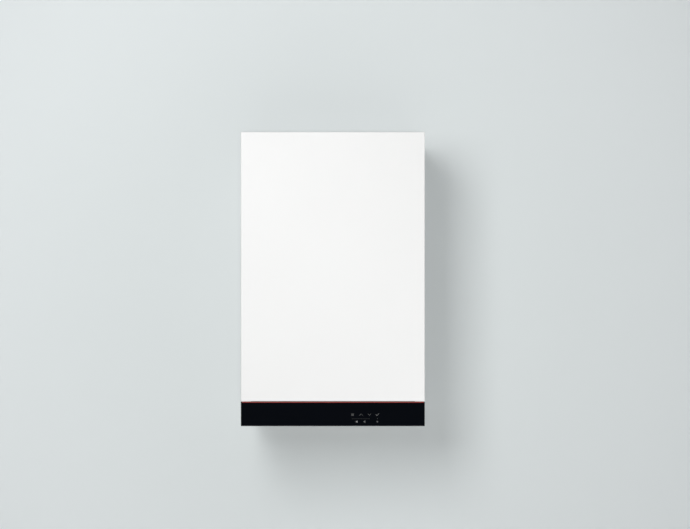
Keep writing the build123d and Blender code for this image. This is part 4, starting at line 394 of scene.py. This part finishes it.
# %% Copper over brass
tail_height = 0.0602  # from the spigot's end to the top of its hexagon
hexagon_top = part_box("gas_inlet_pipe")[0].z + tail_height
brazed = Finish("copper_over_brass", Metallic=1.0)
height = brazed.along("Z")
pipe, turned = height > hexagon_top, height < thread_top
handled, skin = brazed.noise(0.05, 4), brazed.noise(0.0015, 4)
ridge = (height / thread_pitch).math("PINGPONG", height / thread_pitch, 0.5)
brass_colour = brazed.mix(brazed.step(handled, 0.35, 0.7), (0.56, 0.36, 0.13, 1), (0.76, 0.55, 0.26, 1))
copper_colour = brazed.mix(brazed.step(handled, 0.35, 0.7), (0.56, 0.22, 0.11, 1), (0.83, 0.40, 0.25, 1))
brazed.set(
    Base_Color=brazed.mix(pipe, brass_colour, copper_colour),
    Roughness=(1 - turned) * (skin * 0.2 + 0.22) + turned * 0.2,
)
brazed.bump((1 - turned) * skin * 0.12 + turned * ridge, 0.8, 0.0009)
dress(brazed, "gas_inlet_pipe")

# %% [markdown]
# ## Paint, foam, rubber and ceramic
# The expansion vessel is pressed steel in red enamel, which pools in a thicker, darker coat along its
# rolled seam. The pump motor is dipped in dark grey. The seal behind the front panel is closed-cell foam:
# cut cells leave it pitted. The condensate hoses are plain rubber, the ignition lead has a red silicone
# sleeve, and the electrodes sit in glazed ceramic.

# %% Enamelled vessel and painted motor
vessel_low, vessel_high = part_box("expansion_vessel")
enamel = Finish("red_enamel", Coat_Roughness=0.12)
seam_y = (vessel_low.y + vessel_high.y) / 2
depth = enamel.along("Y")
pooled = 1 - enamel.step((depth - seam_y).math("ABSOLUTE", depth - seam_y), 0.0015, 0.006)
enamel.set(
    Base_Color=enamel.mix(pooled, (0.40, 0.016, 0.012, 1), (0.22, 0.009, 0.008, 1)),
    Roughness=enamel.noise(0.02, 3) * 0.1 + 0.26,
    Coat_Weight=enamel.noise(0.05, 2) * 0.3 + 0.3,
)
enamel.bump(enamel.noise(0.0022, 2), 0.3, 0.0001)
dress(enamel, "expansion_vessel")

dipped = Finish("dark_grey_paint", Specular_IOR_Level=0.5)
runs = dipped.noise(0.012, 3, dipped.stretched(1, 1, 0.3))
dipped.set(
    Base_Color=dipped.mix(runs, (0.040, 0.043, 0.047, 1), (0.060, 0.064, 0.069, 1)),
    Roughness=runs * 0.15 + 0.34,
)
dipped.bump(dipped.noise(0.0018, 3), 0.35, 0.0001)
dress(dipped, "pump_motor")

# %% Foam, rubber, silicone and ceramic
foam = Finish("foam_seal", Specular_IOR_Level=0.2)
# The pits' bottoms are coloured darker than their rims: painted shade in the hollows.
pit_depth_and_shade = foam.cells(0.0011)
foam.set(
    Base_Color=foam.mix(pit_depth_and_shade, (0.006, 0.006, 0.007, 1), (0.030, 0.030, 0.032, 1)),
    Roughness=pit_depth_and_shade * 0.1 + 0.85,
)
foam.bump(pit_depth_and_shade, 0.9, 0.0005)
dress(foam, "front_seal")

rubber = Finish("hose_rubber", Specular_IOR_Level=0.35)
bloom = rubber.noise(0.03, 5)
rubber.set(
    Base_Color=rubber.mix(rubber.step(bloom, 0.4, 0.75), (0.013, 0.013, 0.013, 1), (0.045, 0.045, 0.047, 1)),
    Roughness=bloom * 0.2 + 0.52,
)
rubber.bump(rubber.noise(0.0012, 3, rubber.stretched(1, 1, 0.15)), 0.3, 0.0001)
dress(rubber, "condensate_hoses")

silicone = moulded("red_silicone", (0.33, 0.012, 0.010, 1), 0.42, 0.0014)
dress(silicone, "ignition_lead")

glaze = Finish("glazed_ceramic", Coat_Roughness=0.05)
specks = glaze.noise(0.0015, 3)
glaze.set(
    Base_Color=glaze.mix(glaze.step(specks, 0.62, 0.72), (0.80, 0.78, 0.73, 1), (0.55, 0.50, 0.43, 1)),
    Roughness=specks * 0.1 + 0.14,
    Coat_Weight=specks * 0.2 + 0.6,
)
dress(glaze, "electrodes")

# %% [markdown]
# ## The circuit boards
# A circuit board is fibreglass under a green solder mask, with copper tracks that show as paler green lines.
# What stands on it has its own colours: black relays, a wound transformer and grey capacitors. Each board is
# one solid, so its colours go by the distance from its face, and the tracks are the joints of a brick
# pattern. That pattern lies flat, so it is turned up for the touch board, which stands behind the strip.

# %% Solder mask, tracks and components
def circuit_board(name, axis, surface, turn=0.0):
    """Green solder mask over tracks. Components start at that place along the axis."""
    finish = Finish(name, Specular_IOR_Level=0.5)
    flat = finish.add("ShaderNodeMapping", None, {"Vector": finish.place, "Rotation": (turn, 0, 0)})
    tracks = finish.add(
        "ShaderNodeTexBrick", {"offset": 0.35, "offset_frequency": 3, "squash": 0.6, "squash_frequency": 2},
        {"Vector": flat, "Scale": 60.0, "Mortar Size": 0.06, "Mortar Smooth": 0.1, "Bias": 0.0}, "Fac",
    )
    standing = finish.along(axis) > surface
    kind = finish.add("ShaderNodeSeparateColor", None, {"Color": finish.cells(0.022, "Color")})
    mask_colour = finish.mix(tracks, (0.008, 0.070, 0.028, 1), (0.030, 0.150, 0.055, 1))
    part_colour = finish.mix(kind > 0.62, (0.012, 0.012, 0.014, 1), (0.050, 0.056, 0.066, 1))
    finish.set(
        Base_Color=finish.mix(standing, mask_colour, part_colour),
        Roughness=standing * 0.15 + tracks * 0.05 + 0.25,
    )
    finish.bump(tracks * (1 - standing), 0.4, 0.0001)
    return finish


above_board = 0.0017  # a board is 1.6 mm thick
power_board_low, touch_board_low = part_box("main_board")[0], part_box("touch_board")[0]
dress(circuit_board("power_board", "Z", power_board_low.z + above_board), "main_board")
dress(circuit_board("key_board", "Y", touch_board_low.y + above_board, pi / 2), "touch_board")
print("still undressed:", sorted(set(nodes) - dressed))

# %% [markdown]
# ## Printed key symbols
# The strip has touch keys with no travel: all that shows is a row of small grey symbols, over a second row
# near the lower edge. Most are made of strokes under a millimetre wide. A stroke is a plane that is drawn to
# its length, gets round ends from a vertex bevel, is turned in the picture plane and is extruded by a tenth
# of a millimetre, so that it lies on the strip like ink. A little noise in its shade and gloss is what a
# squeegee leaves.

# %% Inks
def ink(name, level):
    """Grey screen print, slightly uneven, as a squeegee leaves it."""
    finish = Finish(name, Specular_IOR_Level=0.2)
    finish.set(
        Base_Color=finish.mix(finish.noise(0.0012, 3), grey(level * 0.88), grey(level, (0.98, 1.0, 1.02))),
        Roughness=finish.noise(0.003, 2) * 0.1 + 0.4,
    )
    return finish


bright_ink, plain_ink, dim_ink, faint_ink = (
    ink(name, level)
    for name, level in (("bright_ink", 0.25), ("plain_ink", 0.12), ("dim_ink", 0.10), ("faint_ink", 0.031))
)
ink_thickness = 0.0001
print("inks are ready")


# %% Strokes
def start(name, primitive, **settings):
    """Adds a primitive with nothing else selected, and names it."""
    bpy.ops.object.select_all(action="DESELECT")
    primitive(**settings)
    piece = bpy.context.object
    piece.name = piece.data.name = name
    return piece


def settle(piece, finish, body):
    """Puts a piece's place into its mesh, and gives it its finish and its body."""
    bpy.ops.object.select_all(action="DESELECT")
    piece.select_set(True)
    bpy.context.view_layer.objects.active = piece
    bpy.ops.object.transform_apply(location=True, rotation=True, scale=True)
    piece.data.materials.clear()
    piece.data.materials.append(finish.material)
    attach(piece, body)
    return piece


def gather(name, parts):
    """Joins parts into one piece."""
    bpy.ops.object.select_all(action="DESELECT")
    for part in parts:
        part.select_set(True)
    bpy.context.view_layer.objects.active = parts[0]
    if len(parts) > 1:
        bpy.ops.object.join()
    piece = bpy.context.object
    piece.name = piece.data.name = name
    return piece


def lift(direction=(0, -ink_thickness, 0)):
    """Turns the flat mesh in edit mode into a plate as thick as ink, towards the front unless told."""
    bpy.ops.mesh.select_all(action="SELECT")
    bpy.ops.mesh.extrude_region_move(TRANSFORM_OT_translate={"value": direction})
    bpy.ops.mesh.select_all(action="SELECT")
    bpy.ops.mesh.normals_make_consistent(inside=False)
    bpy.ops.object.mode_set(mode="OBJECT")


def stroke(x0, z0, x1, z1, width, face_y=front_y):
    """A printed line with round ends between two points of an upright face."""
    length = hypot(x1 - x0, z1 - z0) + width
    middle = ((x0 + x1) / 2, face_y, (z0 + z1) / 2)
    plane = start("stroke", bpy.ops.mesh.primitive_plane_add, size=1, location=middle)
    plane.scale = (length, width, 1)
    plane.rotation_euler = (pi / 2, -atan2(z1 - z0, x1 - x0), 0)
    bpy.ops.object.transform_apply(location=False, rotation=True, scale=True)
    bpy.ops.object.mode_set(mode="EDIT")
    bpy.ops.mesh.bevel(offset=width * 0.45, segments=3, affect="VERTICES")
    lift()
    return plane


strip_low, strip_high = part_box("control_fascia")
strip_bottom = strip_low.z
upper_row, lower_row, line_row = strip_bottom + 0.0281, strip_bottom + 0.0110, strip_bottom + 0.0180
print("the strip runs from", strip_low.z, "to", strip_high.z)

# %% [markdown]
# The upper row has a menu key, an up key, a down key and a confirm key. Three short bars are the usual
# menu symbol, two strokes make a chevron or a tick.

# %% Upper row of keys
menu_x, up_x, down_x, confirm_x = 0.0483, 0.0691, 0.0896, 0.1088
menu_key = gather("menu_symbol", [
    stroke(menu_x - 0.0028, upper_row + rise, menu_x + 0.0028, upper_row + rise, 0.0008)
    for rise in (-0.0019, 0.0, 0.0019)
])
settle(menu_key, plain_ink, "control_unit")
up_key = gather("up_symbol", [
    stroke(up_x - 0.0040, upper_row - 0.0020, up_x, upper_row + 0.0020, 0.0008),
    stroke(up_x, upper_row + 0.0020, up_x + 0.0040, upper_row - 0.0020, 0.0008),
])
settle(up_key, dim_ink, "control_unit")
down_key = gather("down_symbol", [
    stroke(down_x - 0.0036, upper_row + 0.0020, down_x, upper_row - 0.0020, 0.0008),
    stroke(down_x, upper_row - 0.0020, down_x + 0.0036, upper_row + 0.0020, 0.0008),
])
settle(down_key, dim_ink, "control_unit")
confirm_key = gather("confirm_symbol", [
    stroke(confirm_x - 0.0035, upper_row + 0.0003, confirm_x - 0.0010, upper_row - 0.0022, 0.0008),
    stroke(confirm_x - 0.0010, upper_row - 0.0022, confirm_x + 0.0036, upper_row + 0.0024, 0.0008),
])
settle(confirm_key, bright_ink, "control_unit")
print("upper row at", round(upper_row, 4))

# %% [markdown]
# Between the rows runs a faint line with turned-up ends, and a short mark stands under the confirm key.
# The lower row has two arrowheads that point left, and a small diamond. An arrowhead is a circle of three
# corners; the diamond is a circle of four with its middle inset and taken out.

# %% Line, arrowheads and diamond
bracket_left, bracket_right, bracket_rise = 0.0470, 0.0900, 0.0016
bracket_line = gather("key_bracket", [
    stroke(bracket_left, line_row, bracket_right, line_row, 0.0006),
    stroke(bracket_left, line_row, bracket_left, line_row + bracket_rise, 0.0004),
    stroke(bracket_right, line_row, bracket_right, line_row + bracket_rise, 0.0004),
])
settle(bracket_line, faint_ink, "control_unit")
tick_mark = stroke(confirm_x, line_row, confirm_x, line_row + bracket_rise, 0.0007)
tick_mark.name = tick_mark.data.name = "key_tick"
settle(tick_mark, dim_ink, "control_unit")


def cornered(name, corners, x, z, radius, turn, inset=0.0):
    """A flat shape with that many corners, on the strip's face, with its middle cut out if inset."""
    piece = start(
        name, bpy.ops.mesh.primitive_circle_add, vertices=corners, radius=radius, fill_type="NGON",
        location=(x, front_y, z), rotation=(pi / 2, turn, 0),
    )
    bpy.ops.object.transform_apply(location=False, rotation=True, scale=True)
    bpy.ops.object.mode_set(mode="EDIT")
    if inset:
        bpy.ops.mesh.inset(thickness=inset)
        bpy.ops.mesh.delete(type="FACE")
    lift()
    return piece


back_x, return_x, link_x = 0.0587, 0.0777, 0.1090
back_key = cornered("back_symbol", 3, back_x, lower_row, 0.0031, -pi / 2)
settle(back_key, bright_ink, "control_unit")
return_key = cornered("return_symbol", 3, return_x, lower_row, 0.0036, -pi / 2)
settle(return_key, dim_ink, "control_unit")
link_key = cornered("link_symbol", 4, link_x, lower_row, 0.0023, 0, inset=0.0009)
settle(link_key, plain_ink, "control_unit")
print("lower row at", round(lower_row, 4))

# %% [markdown]
# ## Marks on the rocker switch
# Under the casing sits the mains rocker, whose two slopes carry the usual marks: a bar for on and a ring for
# off. They are moulded in and filled with white paint. Each is made flat at the origin, tilted by its slope
# and moved on to it. The switch leans eight degrees, so one slope lies almost level and the other steep.

# %% Bar and ring
rocker_low, rocker_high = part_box("power_rocker")
switch_low, switch_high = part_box("switch_body")
rocker_x = (switch_low.x + switch_high.x) / 2
rocker_y = (rocker_low.y + rocker_high.y) / 2
rocker_pivot = Vector((rocker_x, rocker_y, switch_low.z + 0.0036))
rocker_radius, lean = 0.0104, radians(8)
waist, end = 0.46, 0.56  # how deep the rocker is at its middle and at its ends, in radii
white_fill = Finish("white_fill", Specular_IOR_Level=0.3)
white_fill.set(
    Base_Color=white_fill.mix(white_fill.noise(0.001, 3), grey(0.62), grey(0.74)),
    Roughness=white_fill.noise(0.002, 2) * 0.1 + 0.4,
)


def on_slope(piece, side):
    """Tilts a flat mark like the rocker's slope on that side, and moves it there."""
    slope = side * atan2(end - waist, 1) - lean
    sunk = (waist + end) / 2 * rocker_radius + ink_thickness / 2
    across, down = side * rocker_radius / 2, -sunk
    piece.rotation_euler = (0, slope, 0)
    piece.location = rocker_pivot + Vector((
        across * cos(lean) - down * sin(lean), 0, across * sin(lean) + down * cos(lean)
    ))
    return piece


bar = start("on_bar", bpy.ops.mesh.primitive_cube_add, size=1)
bar.scale = (0.0009, 0.0046, ink_thickness)
bpy.ops.object.transform_apply(location=False, rotation=False, scale=True)
bpy.ops.object.mode_set(mode="EDIT")
bpy.ops.mesh.bevel(offset=0.00003, segments=2)
bpy.ops.object.mode_set(mode="OBJECT")
settle(on_slope(bar, -1), white_fill, "rocker")

ring = start(
    "off_ring", bpy.ops.mesh.primitive_circle_add,
    vertices=32, radius=0.0023, fill_type="NGON", location=(0, 0, ink_thickness / 2),
)
bpy.ops.object.transform_apply(location=True, rotation=True, scale=True)
bpy.ops.object.mode_set(mode="EDIT")
bpy.ops.mesh.inset(thickness=0.0006)
bpy.ops.mesh.delete(type="FACE")
lift((0, 0, -ink_thickness))
settle(on_slope(ring, 1), white_fill, "rocker")
print("marks on the rocker at", round(rocker_x, 4), round(rocker_y, 4))

# %% [markdown]
# ## Screw heads
# Eight screws hold the flue socket and the top panel. CAD gives each a plain disc, which is right for its
# place but not for its look: a pan head is rounded at its rim and has a cross recess that narrows downwards.
# The head is a cylinder with its top rim bevelled. The cutter starts as a small cube whose four sides are
# extruded into a cross and whose underside is shrunk, and a Boolean takes it out. Where the heads go is read
# from CAD: a merged copy of the node is separated into its discs, and each disc's box gives a place.

# %% One pan head
def select_faces(piece, test):
    """Leaves a piece in edit mode, with the faces selected whose normal passes the test."""
    bpy.ops.object.mode_set(mode="EDIT")
    bpy.ops.mesh.select_mode(type="FACE")
    bpy.ops.mesh.select_all(action="DESELECT")
    bpy.ops.object.mode_set(mode="OBJECT")
    for face in piece.data.polygons:
        face.select = test(face.normal)
    bpy.ops.object.mode_set(mode="EDIT")


head_radius, head_height = 0.004, 0.0022
pan = start(
    "screw_head", bpy.ops.mesh.primitive_cylinder_add,
    vertices=32, radius=head_radius, depth=head_height, location=(0, 0, head_height / 2),
)
bpy.ops.object.transform_apply(location=True, rotation=True, scale=True)
select_faces(pan, lambda normal: normal.z > 0.9)
bpy.ops.mesh.bevel(offset=0.0012, segments=5)
bpy.ops.object.mode_set(mode="OBJECT")
print("a plain head has", len(pan.data.polygons), "faces")

# %% Its cross recess
slot_width, slot_reach, slot_depth, taper = 0.0009, 0.0016, 0.0012, 0.55
cutter = start(
    "cross_cutter", bpy.ops.mesh.primitive_cube_add, size=slot_width, location=(0, 0, head_height),
)
cutter.scale.z = 2 * slot_depth / slot_width
bpy.ops.object.transform_apply(location=True, rotation=True, scale=True)
select_faces(cutter, lambda normal: abs(normal.z) < 0.5)
bpy.ops.mesh.extrude_faces_move(TRANSFORM_OT_shrink_fatten={"value": slot_reach})
select_faces(cutter, lambda normal: normal.z < -0.5)
bpy.ops.transform.resize(value=(taper, taper, 1), center_override=(0, 0, head_height - slot_depth))
bpy.ops.object.mode_set(mode="OBJECT")
recess = pan.modifiers.new("recess", "BOOLEAN")
recess.operation, recess.solver, recess.object = "DIFFERENCE", "EXACT", cutter
bpy.ops.object.select_all(action="DESELECT")
bpy.context.view_layer.objects.active = pan
bpy.ops.object.modifier_apply(modifier="recess")
bpy.data.objects.remove(cutter)
print("a pan head has", len(pan.data.polygons), "faces and is", tuple(round(v, 4) for v in pan.dimensions))


# %% A head on every disc
def solids_of(name):
    """The lowest and highest corner of each separate solid in a CAD node."""
    copy = nodes[name].copy()
    copy.data = nodes[name].data.copy()
    bpy.context.collection.objects.link(copy)
    bpy.ops.object.select_all(action="DESELECT")
    copy.select_set(True)
    bpy.context.view_layer.objects.active = copy
    bpy.ops.object.mode_set(mode="EDIT")
    bpy.ops.mesh.select_all(action="SELECT")
    bpy.ops.mesh.remove_doubles(threshold=0.00001)
    bpy.ops.mesh.separate(type="LOOSE")
    bpy.ops.object.mode_set(mode="OBJECT")
    boxes = []
    for part in list(bpy.context.selected_objects):
        corners = [vertex.co for vertex in part.data.vertices]
        boxes.append(tuple(
            Vector(pick(corner[axis] for corner in corners) for axis in range(3)) for pick in (min, max)
        ))
        bpy.data.objects.remove(part)
    return boxes


def copies(piece, name, places, turns):
    """One piece made of copies, each with its own mesh, turned about the upright and placed."""
    made = []
    for place, turn in zip(places, turns):
        copy = piece.copy()
        copy.data = piece.data.copy()
        bpy.context.collection.objects.link(copy)
        copy.location, copy.rotation_euler = place, (0, 0, turn)
        made.append(copy)
    bpy.data.objects.remove(piece)
    return gather(name, made)


discs = sorted(solids_of("case_screws"), key=lambda box: (box[0].x, box[0].y))
screw_places = [Vector(((low.x + high.x) / 2, (low.y + high.y) / 2, low.z)) for low, high in discs]
first_turn, turn_step = 0.3, 0.83  # no two screws stop at the same angle
screw_turns = [first_turn + turn_step * number for number in range(len(screw_places))]
heads = copies(pan, "pan_head_screws", screw_places, screw_turns)
screws = settle(heads, plated, "casing")
bpy.ops.object.shade_smooth_by_angle(angle=radians(32))
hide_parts("case_screws")
print("heads on", len(screw_places), "screws")

# %% [markdown]
# ## Lip seals in the flue socket
# Both pipes of the flue push past a rubber lip near the mouth of their socket. Each lip is a flat ring with
# rounded edges. The ring is drawn as its section, a tall plane whose corners are bevelled, and spun round
# the flue's axis.

# %% Two lips
def lip_seal(name, centre, radius, z, height=0.004, reach=0.0012):
    """A rubber ring against the inside of a socket of that radius."""
    section = start(name, bpy.ops.mesh.primitive_plane_add, size=1, rotation=(pi / 2, 0, 0))
    section.scale = (reach, height, 1)
    bpy.ops.object.transform_apply(location=True, rotation=True, scale=True)
    section.location = (centre[0] + radius - reach / 2, centre[1], z)
    bpy.ops.object.transform_apply(location=True)
    bpy.ops.object.mode_set(mode="EDIT")
    bpy.ops.mesh.select_all(action="SELECT")
    bpy.ops.mesh.bevel(offset=reach * 0.4, segments=3, affect="VERTICES")
    bpy.ops.mesh.select_all(action="SELECT")
    bpy.ops.mesh.spin(
        steps=64, angle=2 * pi, center=(centre[0], centre[1], z), axis=(0, 0, 1), use_auto_merge=True,
    )
    bpy.ops.mesh.select_all(action="SELECT")
    bpy.ops.mesh.remove_doubles(threshold=0.00001)
    bpy.ops.mesh.delete_loose()
    bpy.ops.mesh.select_all(action="SELECT")
    bpy.ops.mesh.normals_make_consistent(inside=False)
    bpy.ops.object.mode_set(mode="OBJECT")
    return section


seal_rubber = Finish("lip_rubber", Specular_IOR_Level=0.35)
talc = seal_rubber.noise(0.006, 4)
dusted = seal_rubber.step(talc, 0.45, 0.8)
seal_rubber.set(
    Base_Color=seal_rubber.mix(dusted, (0.014, 0.014, 0.015, 1), (0.070, 0.070, 0.072, 1)),
    Roughness=talc * 0.2 + 0.5,
)
socket_low, socket_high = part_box("flue_socket")
flue_axis = ((socket_low.x + socket_high.x) / 2, -0.150)  # 150 mm in front of the wall
lips = gather("flue_lip_seals", [
    lip_seal("exhaust_lip", flue_axis, 0.0300, socket_high.z - 0.018),
    lip_seal("air_lip", flue_axis, 0.0500, socket_high.z - 0.006),
])
settle(lips, seal_rubber, "casing")
bpy.ops.object.shade_smooth_by_angle(angle=radians(40))
lips_low, lips_high = (tuple(round(v, 4) for v in lips.bound_box[corner]) for corner in (0, 6))
print("lips reach from", lips_low, "to", lips_high)

# %% [markdown]
# ## The pump's speed dial
# The dial on the pump's terminal box has a slot for a screwdriver, and three marks round it for its three
# speeds, which are strokes of growing length. They are only seen with the front panel off. The strokes are
# those of the key symbols, laid on the box's face instead of the strip's.

# %% Dial slot and speed marks
dial_x, dial_z, dial_radius, dial_rise = 0.130, -0.472, 0.010, 0.003
dial_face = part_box("pump_motor")[0].y
box_face = dial_face + dial_rise
marks = []
for number, turn in enumerate((radians(145), radians(90), radians(35)), 1):
    ends = (dial_radius + 0.0025, dial_radius + 0.0035 + 0.0018 * number)
    (x0, z0), (x1, z1) = ((dial_x + r * cos(turn), dial_z + r * sin(turn)) for r in ends)
    marks.append(stroke(x0, z0, x1, z1, 0.0014, box_face))
marks.append(stroke(dial_x - 0.0062, dial_z - 0.0036, dial_x + 0.0062, dial_z + 0.0036, 0.0016, dial_face))
settle(gather("speed_marks", marks), white_fill, "casing")
print("dial marks stand on", round(box_face, 4), "and", round(dial_face, 4))

# %% [markdown]
# ## The wall and the floor
# A boiler hangs on a wall, and its picture is mostly the soft shadow it throws there. The wall is seen by
# the camera only, and only from the front: it catches the shadow, but is clear from behind, so that the
# boiler's back can be looked at. In reflections the pale world stands in for it. Its paint carries painted
# shade, a little darker round the boiler than far off, and painted light, paler to the right, which evens
# out the lamp's own fading. The floor is far below. For rays that see the background it has a faint glow of
# its own, so that it stays pale where no lamp reaches.

# %% Wall and floor
def background_ray(graph):
    """1 for rays that see the background: straight, in a mirror or through glass."""
    camera_ray, mirror_ray, glass_ray = (
        graph.add("ShaderNodeLightPath", output=kind)
        for kind in ("Is Camera Ray", "Is Glossy Ray", "Is Transmission Ray")
    )
    return (camera_ray + mirror_ray + glass_ray) > 0.5


def backdrop(name, size, location, rotation):
    """A plane and its paint, clear from behind so that it never hides the boiler."""
    sheet = start(name, bpy.ops.mesh.primitive_plane_add, size=size, location=location, rotation=rotation)
    bpy.ops.object.transform_apply(location=True, rotation=True, scale=True)
    paint = Finish(name + "_paint", Specular_IOR_Level=0.1, Roughness=0.9)
    front = Value(paint, paint.shader.outputs["BSDF"])
    behind = paint.add("ShaderNodeNewGeometry", output="Backfacing")
    clear = paint.add("ShaderNodeBsdfTransparent")
    shown = paint.add("ShaderNodeMixShader", None, {0: behind, 1: front, 2: clear})
    paint.feed(shown, paint.tree.nodes["Material Output"].inputs["Surface"])
    sheet.data.materials.append(paint.material)
    return sheet, paint


backdrop_size, wall_gap = 12, 0.0006
wall, wall_paint = backdrop("wall", backdrop_size, (0, wall_gap, 1.0), (pi / 2, 0, 0))
wall.visible_diffuse = wall.visible_glossy = wall.visible_shadow = False
across, up = wall_paint.along("X"), wall_paint.along("Z")
rise = up + 0.3
distance = across * across + rise * rise
# Painted shade and painted light: the paint is darker round the boiler, and paler to the right to even out
# the key lamp's fading.
shade_fading_outwards = wall_paint.step(distance.math("SQRT", distance), 0.4, 1.2)
painted_light_rightwards = wall_paint.step(across, -0.45, 0.45)
shaded_near_colour = wall_paint.mix(painted_light_rightwards, (0.742, 0.785, 0.785, 1), (0.790, 0.835, 0.835, 1))
wall_paint.set(Base_Color=wall_paint.mix(shade_fading_outwards, shaded_near_colour, (0.845, 0.888, 0.892, 1)))

floor_level = -1.6
floor, floor_paint = backdrop("floor", backdrop_size, (0, 0, floor_level), (0, 0, 0))
clouds = floor_paint.noise(0.8, 2)
floor_paint.set(Base_Color=floor_paint.mix(clouds, (0.66, 0.66, 0.65, 1), (0.70, 0.70, 0.69, 1)))
glow = floor_paint.mix(background_ray(floor_paint), (0, 0, 0, 1), (0.22, 0.225, 0.23, 1))
floor_paint.set(Emission_Color=glow)
floor_paint.shader.inputs["Emission Strength"].default_value = 1.0
print("wall and floor are in place")

# %% [markdown]
# ## The light
# The key lamp is large, up on the left and close enough to fade gently to the right, and it throws the
# shadow. A fill lamp far in front lifts that shadow. A low lamp on the right evens out the panel, and light
# linking keeps it off the wall and the floor, so that it throws no second shadow. Two lamps behind the wall
# light the sides, the top and the back. They give direct light only, or the sides would pass it on to the
# wall. The world is dim, but shows pale to rays that see the background.

# %% Lamps
def soft_lamp(name, place, target, width, height, power):
    """A rectangular soft lamp that looks at a point."""
    bpy.ops.object.light_add(type="AREA", location=place)
    lamp = bpy.context.object
    lamp.name = name
    lamp.data.shape, lamp.data.size, lamp.data.size_y, lamp.data.energy = "RECTANGLE", width, height, power
    lamp.rotation_euler = (Vector(target) - Vector(place)).to_track_quat("-Z", "Y").to_euler()
    lamp.visible_camera = False
    return lamp


soft_lamp("key_lamp", (-0.60, -2.36, 0.39), (0, 0, -0.30), 0.78, 1.15, 26)
low = soft_lamp("low_lamp", (0.85, -1.40, -1.00), (0, front_y, -0.30), 0.5, 0.5, 4.2)
fill = soft_lamp("fill_lamp", (0.10, -5.50, -0.40), (0, 0, -0.26), 0.4, 0.4, 104)
low.visible_glossy = fill.visible_glossy = False
unlit = bpy.data.collections.new("left_out_by_low_lamp")
for number, left_out in enumerate((wall, floor)):
    unlit.objects.link(left_out)
    unlit.collection_objects[number].light_linking.link_state = "EXCLUDE"
low.light_linking.receiver_collection = unlit
for name, x in (("back_lamp_left", -1.9), ("back_lamp_right", 1.9)):
    back = soft_lamp(name, (x, 1.6, 0.75), (0, -0.15, -0.25), 1.2, 1.2, 58)
    back.data.cycles.max_bounces = 0
print("lamps are lit")

# %% World
scene = bpy.context.scene
scene.view_settings.view_transform = "Standard"
world = scene.world or bpy.data.worlds.new("world")
scene.world = world
world.use_nodes = True
sky = world.node_tree.nodes["Background"]
sky.inputs["Color"].default_value = (0.93, 0.96, 1.0, 1)
dim_strength, pale_strength = 0.13, 0.80
air = Graph(world.node_tree)
air.feed(background_ray(air) * (pale_strength - dim_strength) + dim_strength, sky.inputs["Strength"])
print("the world is", dim_strength, "as light and", pale_strength, "as background")
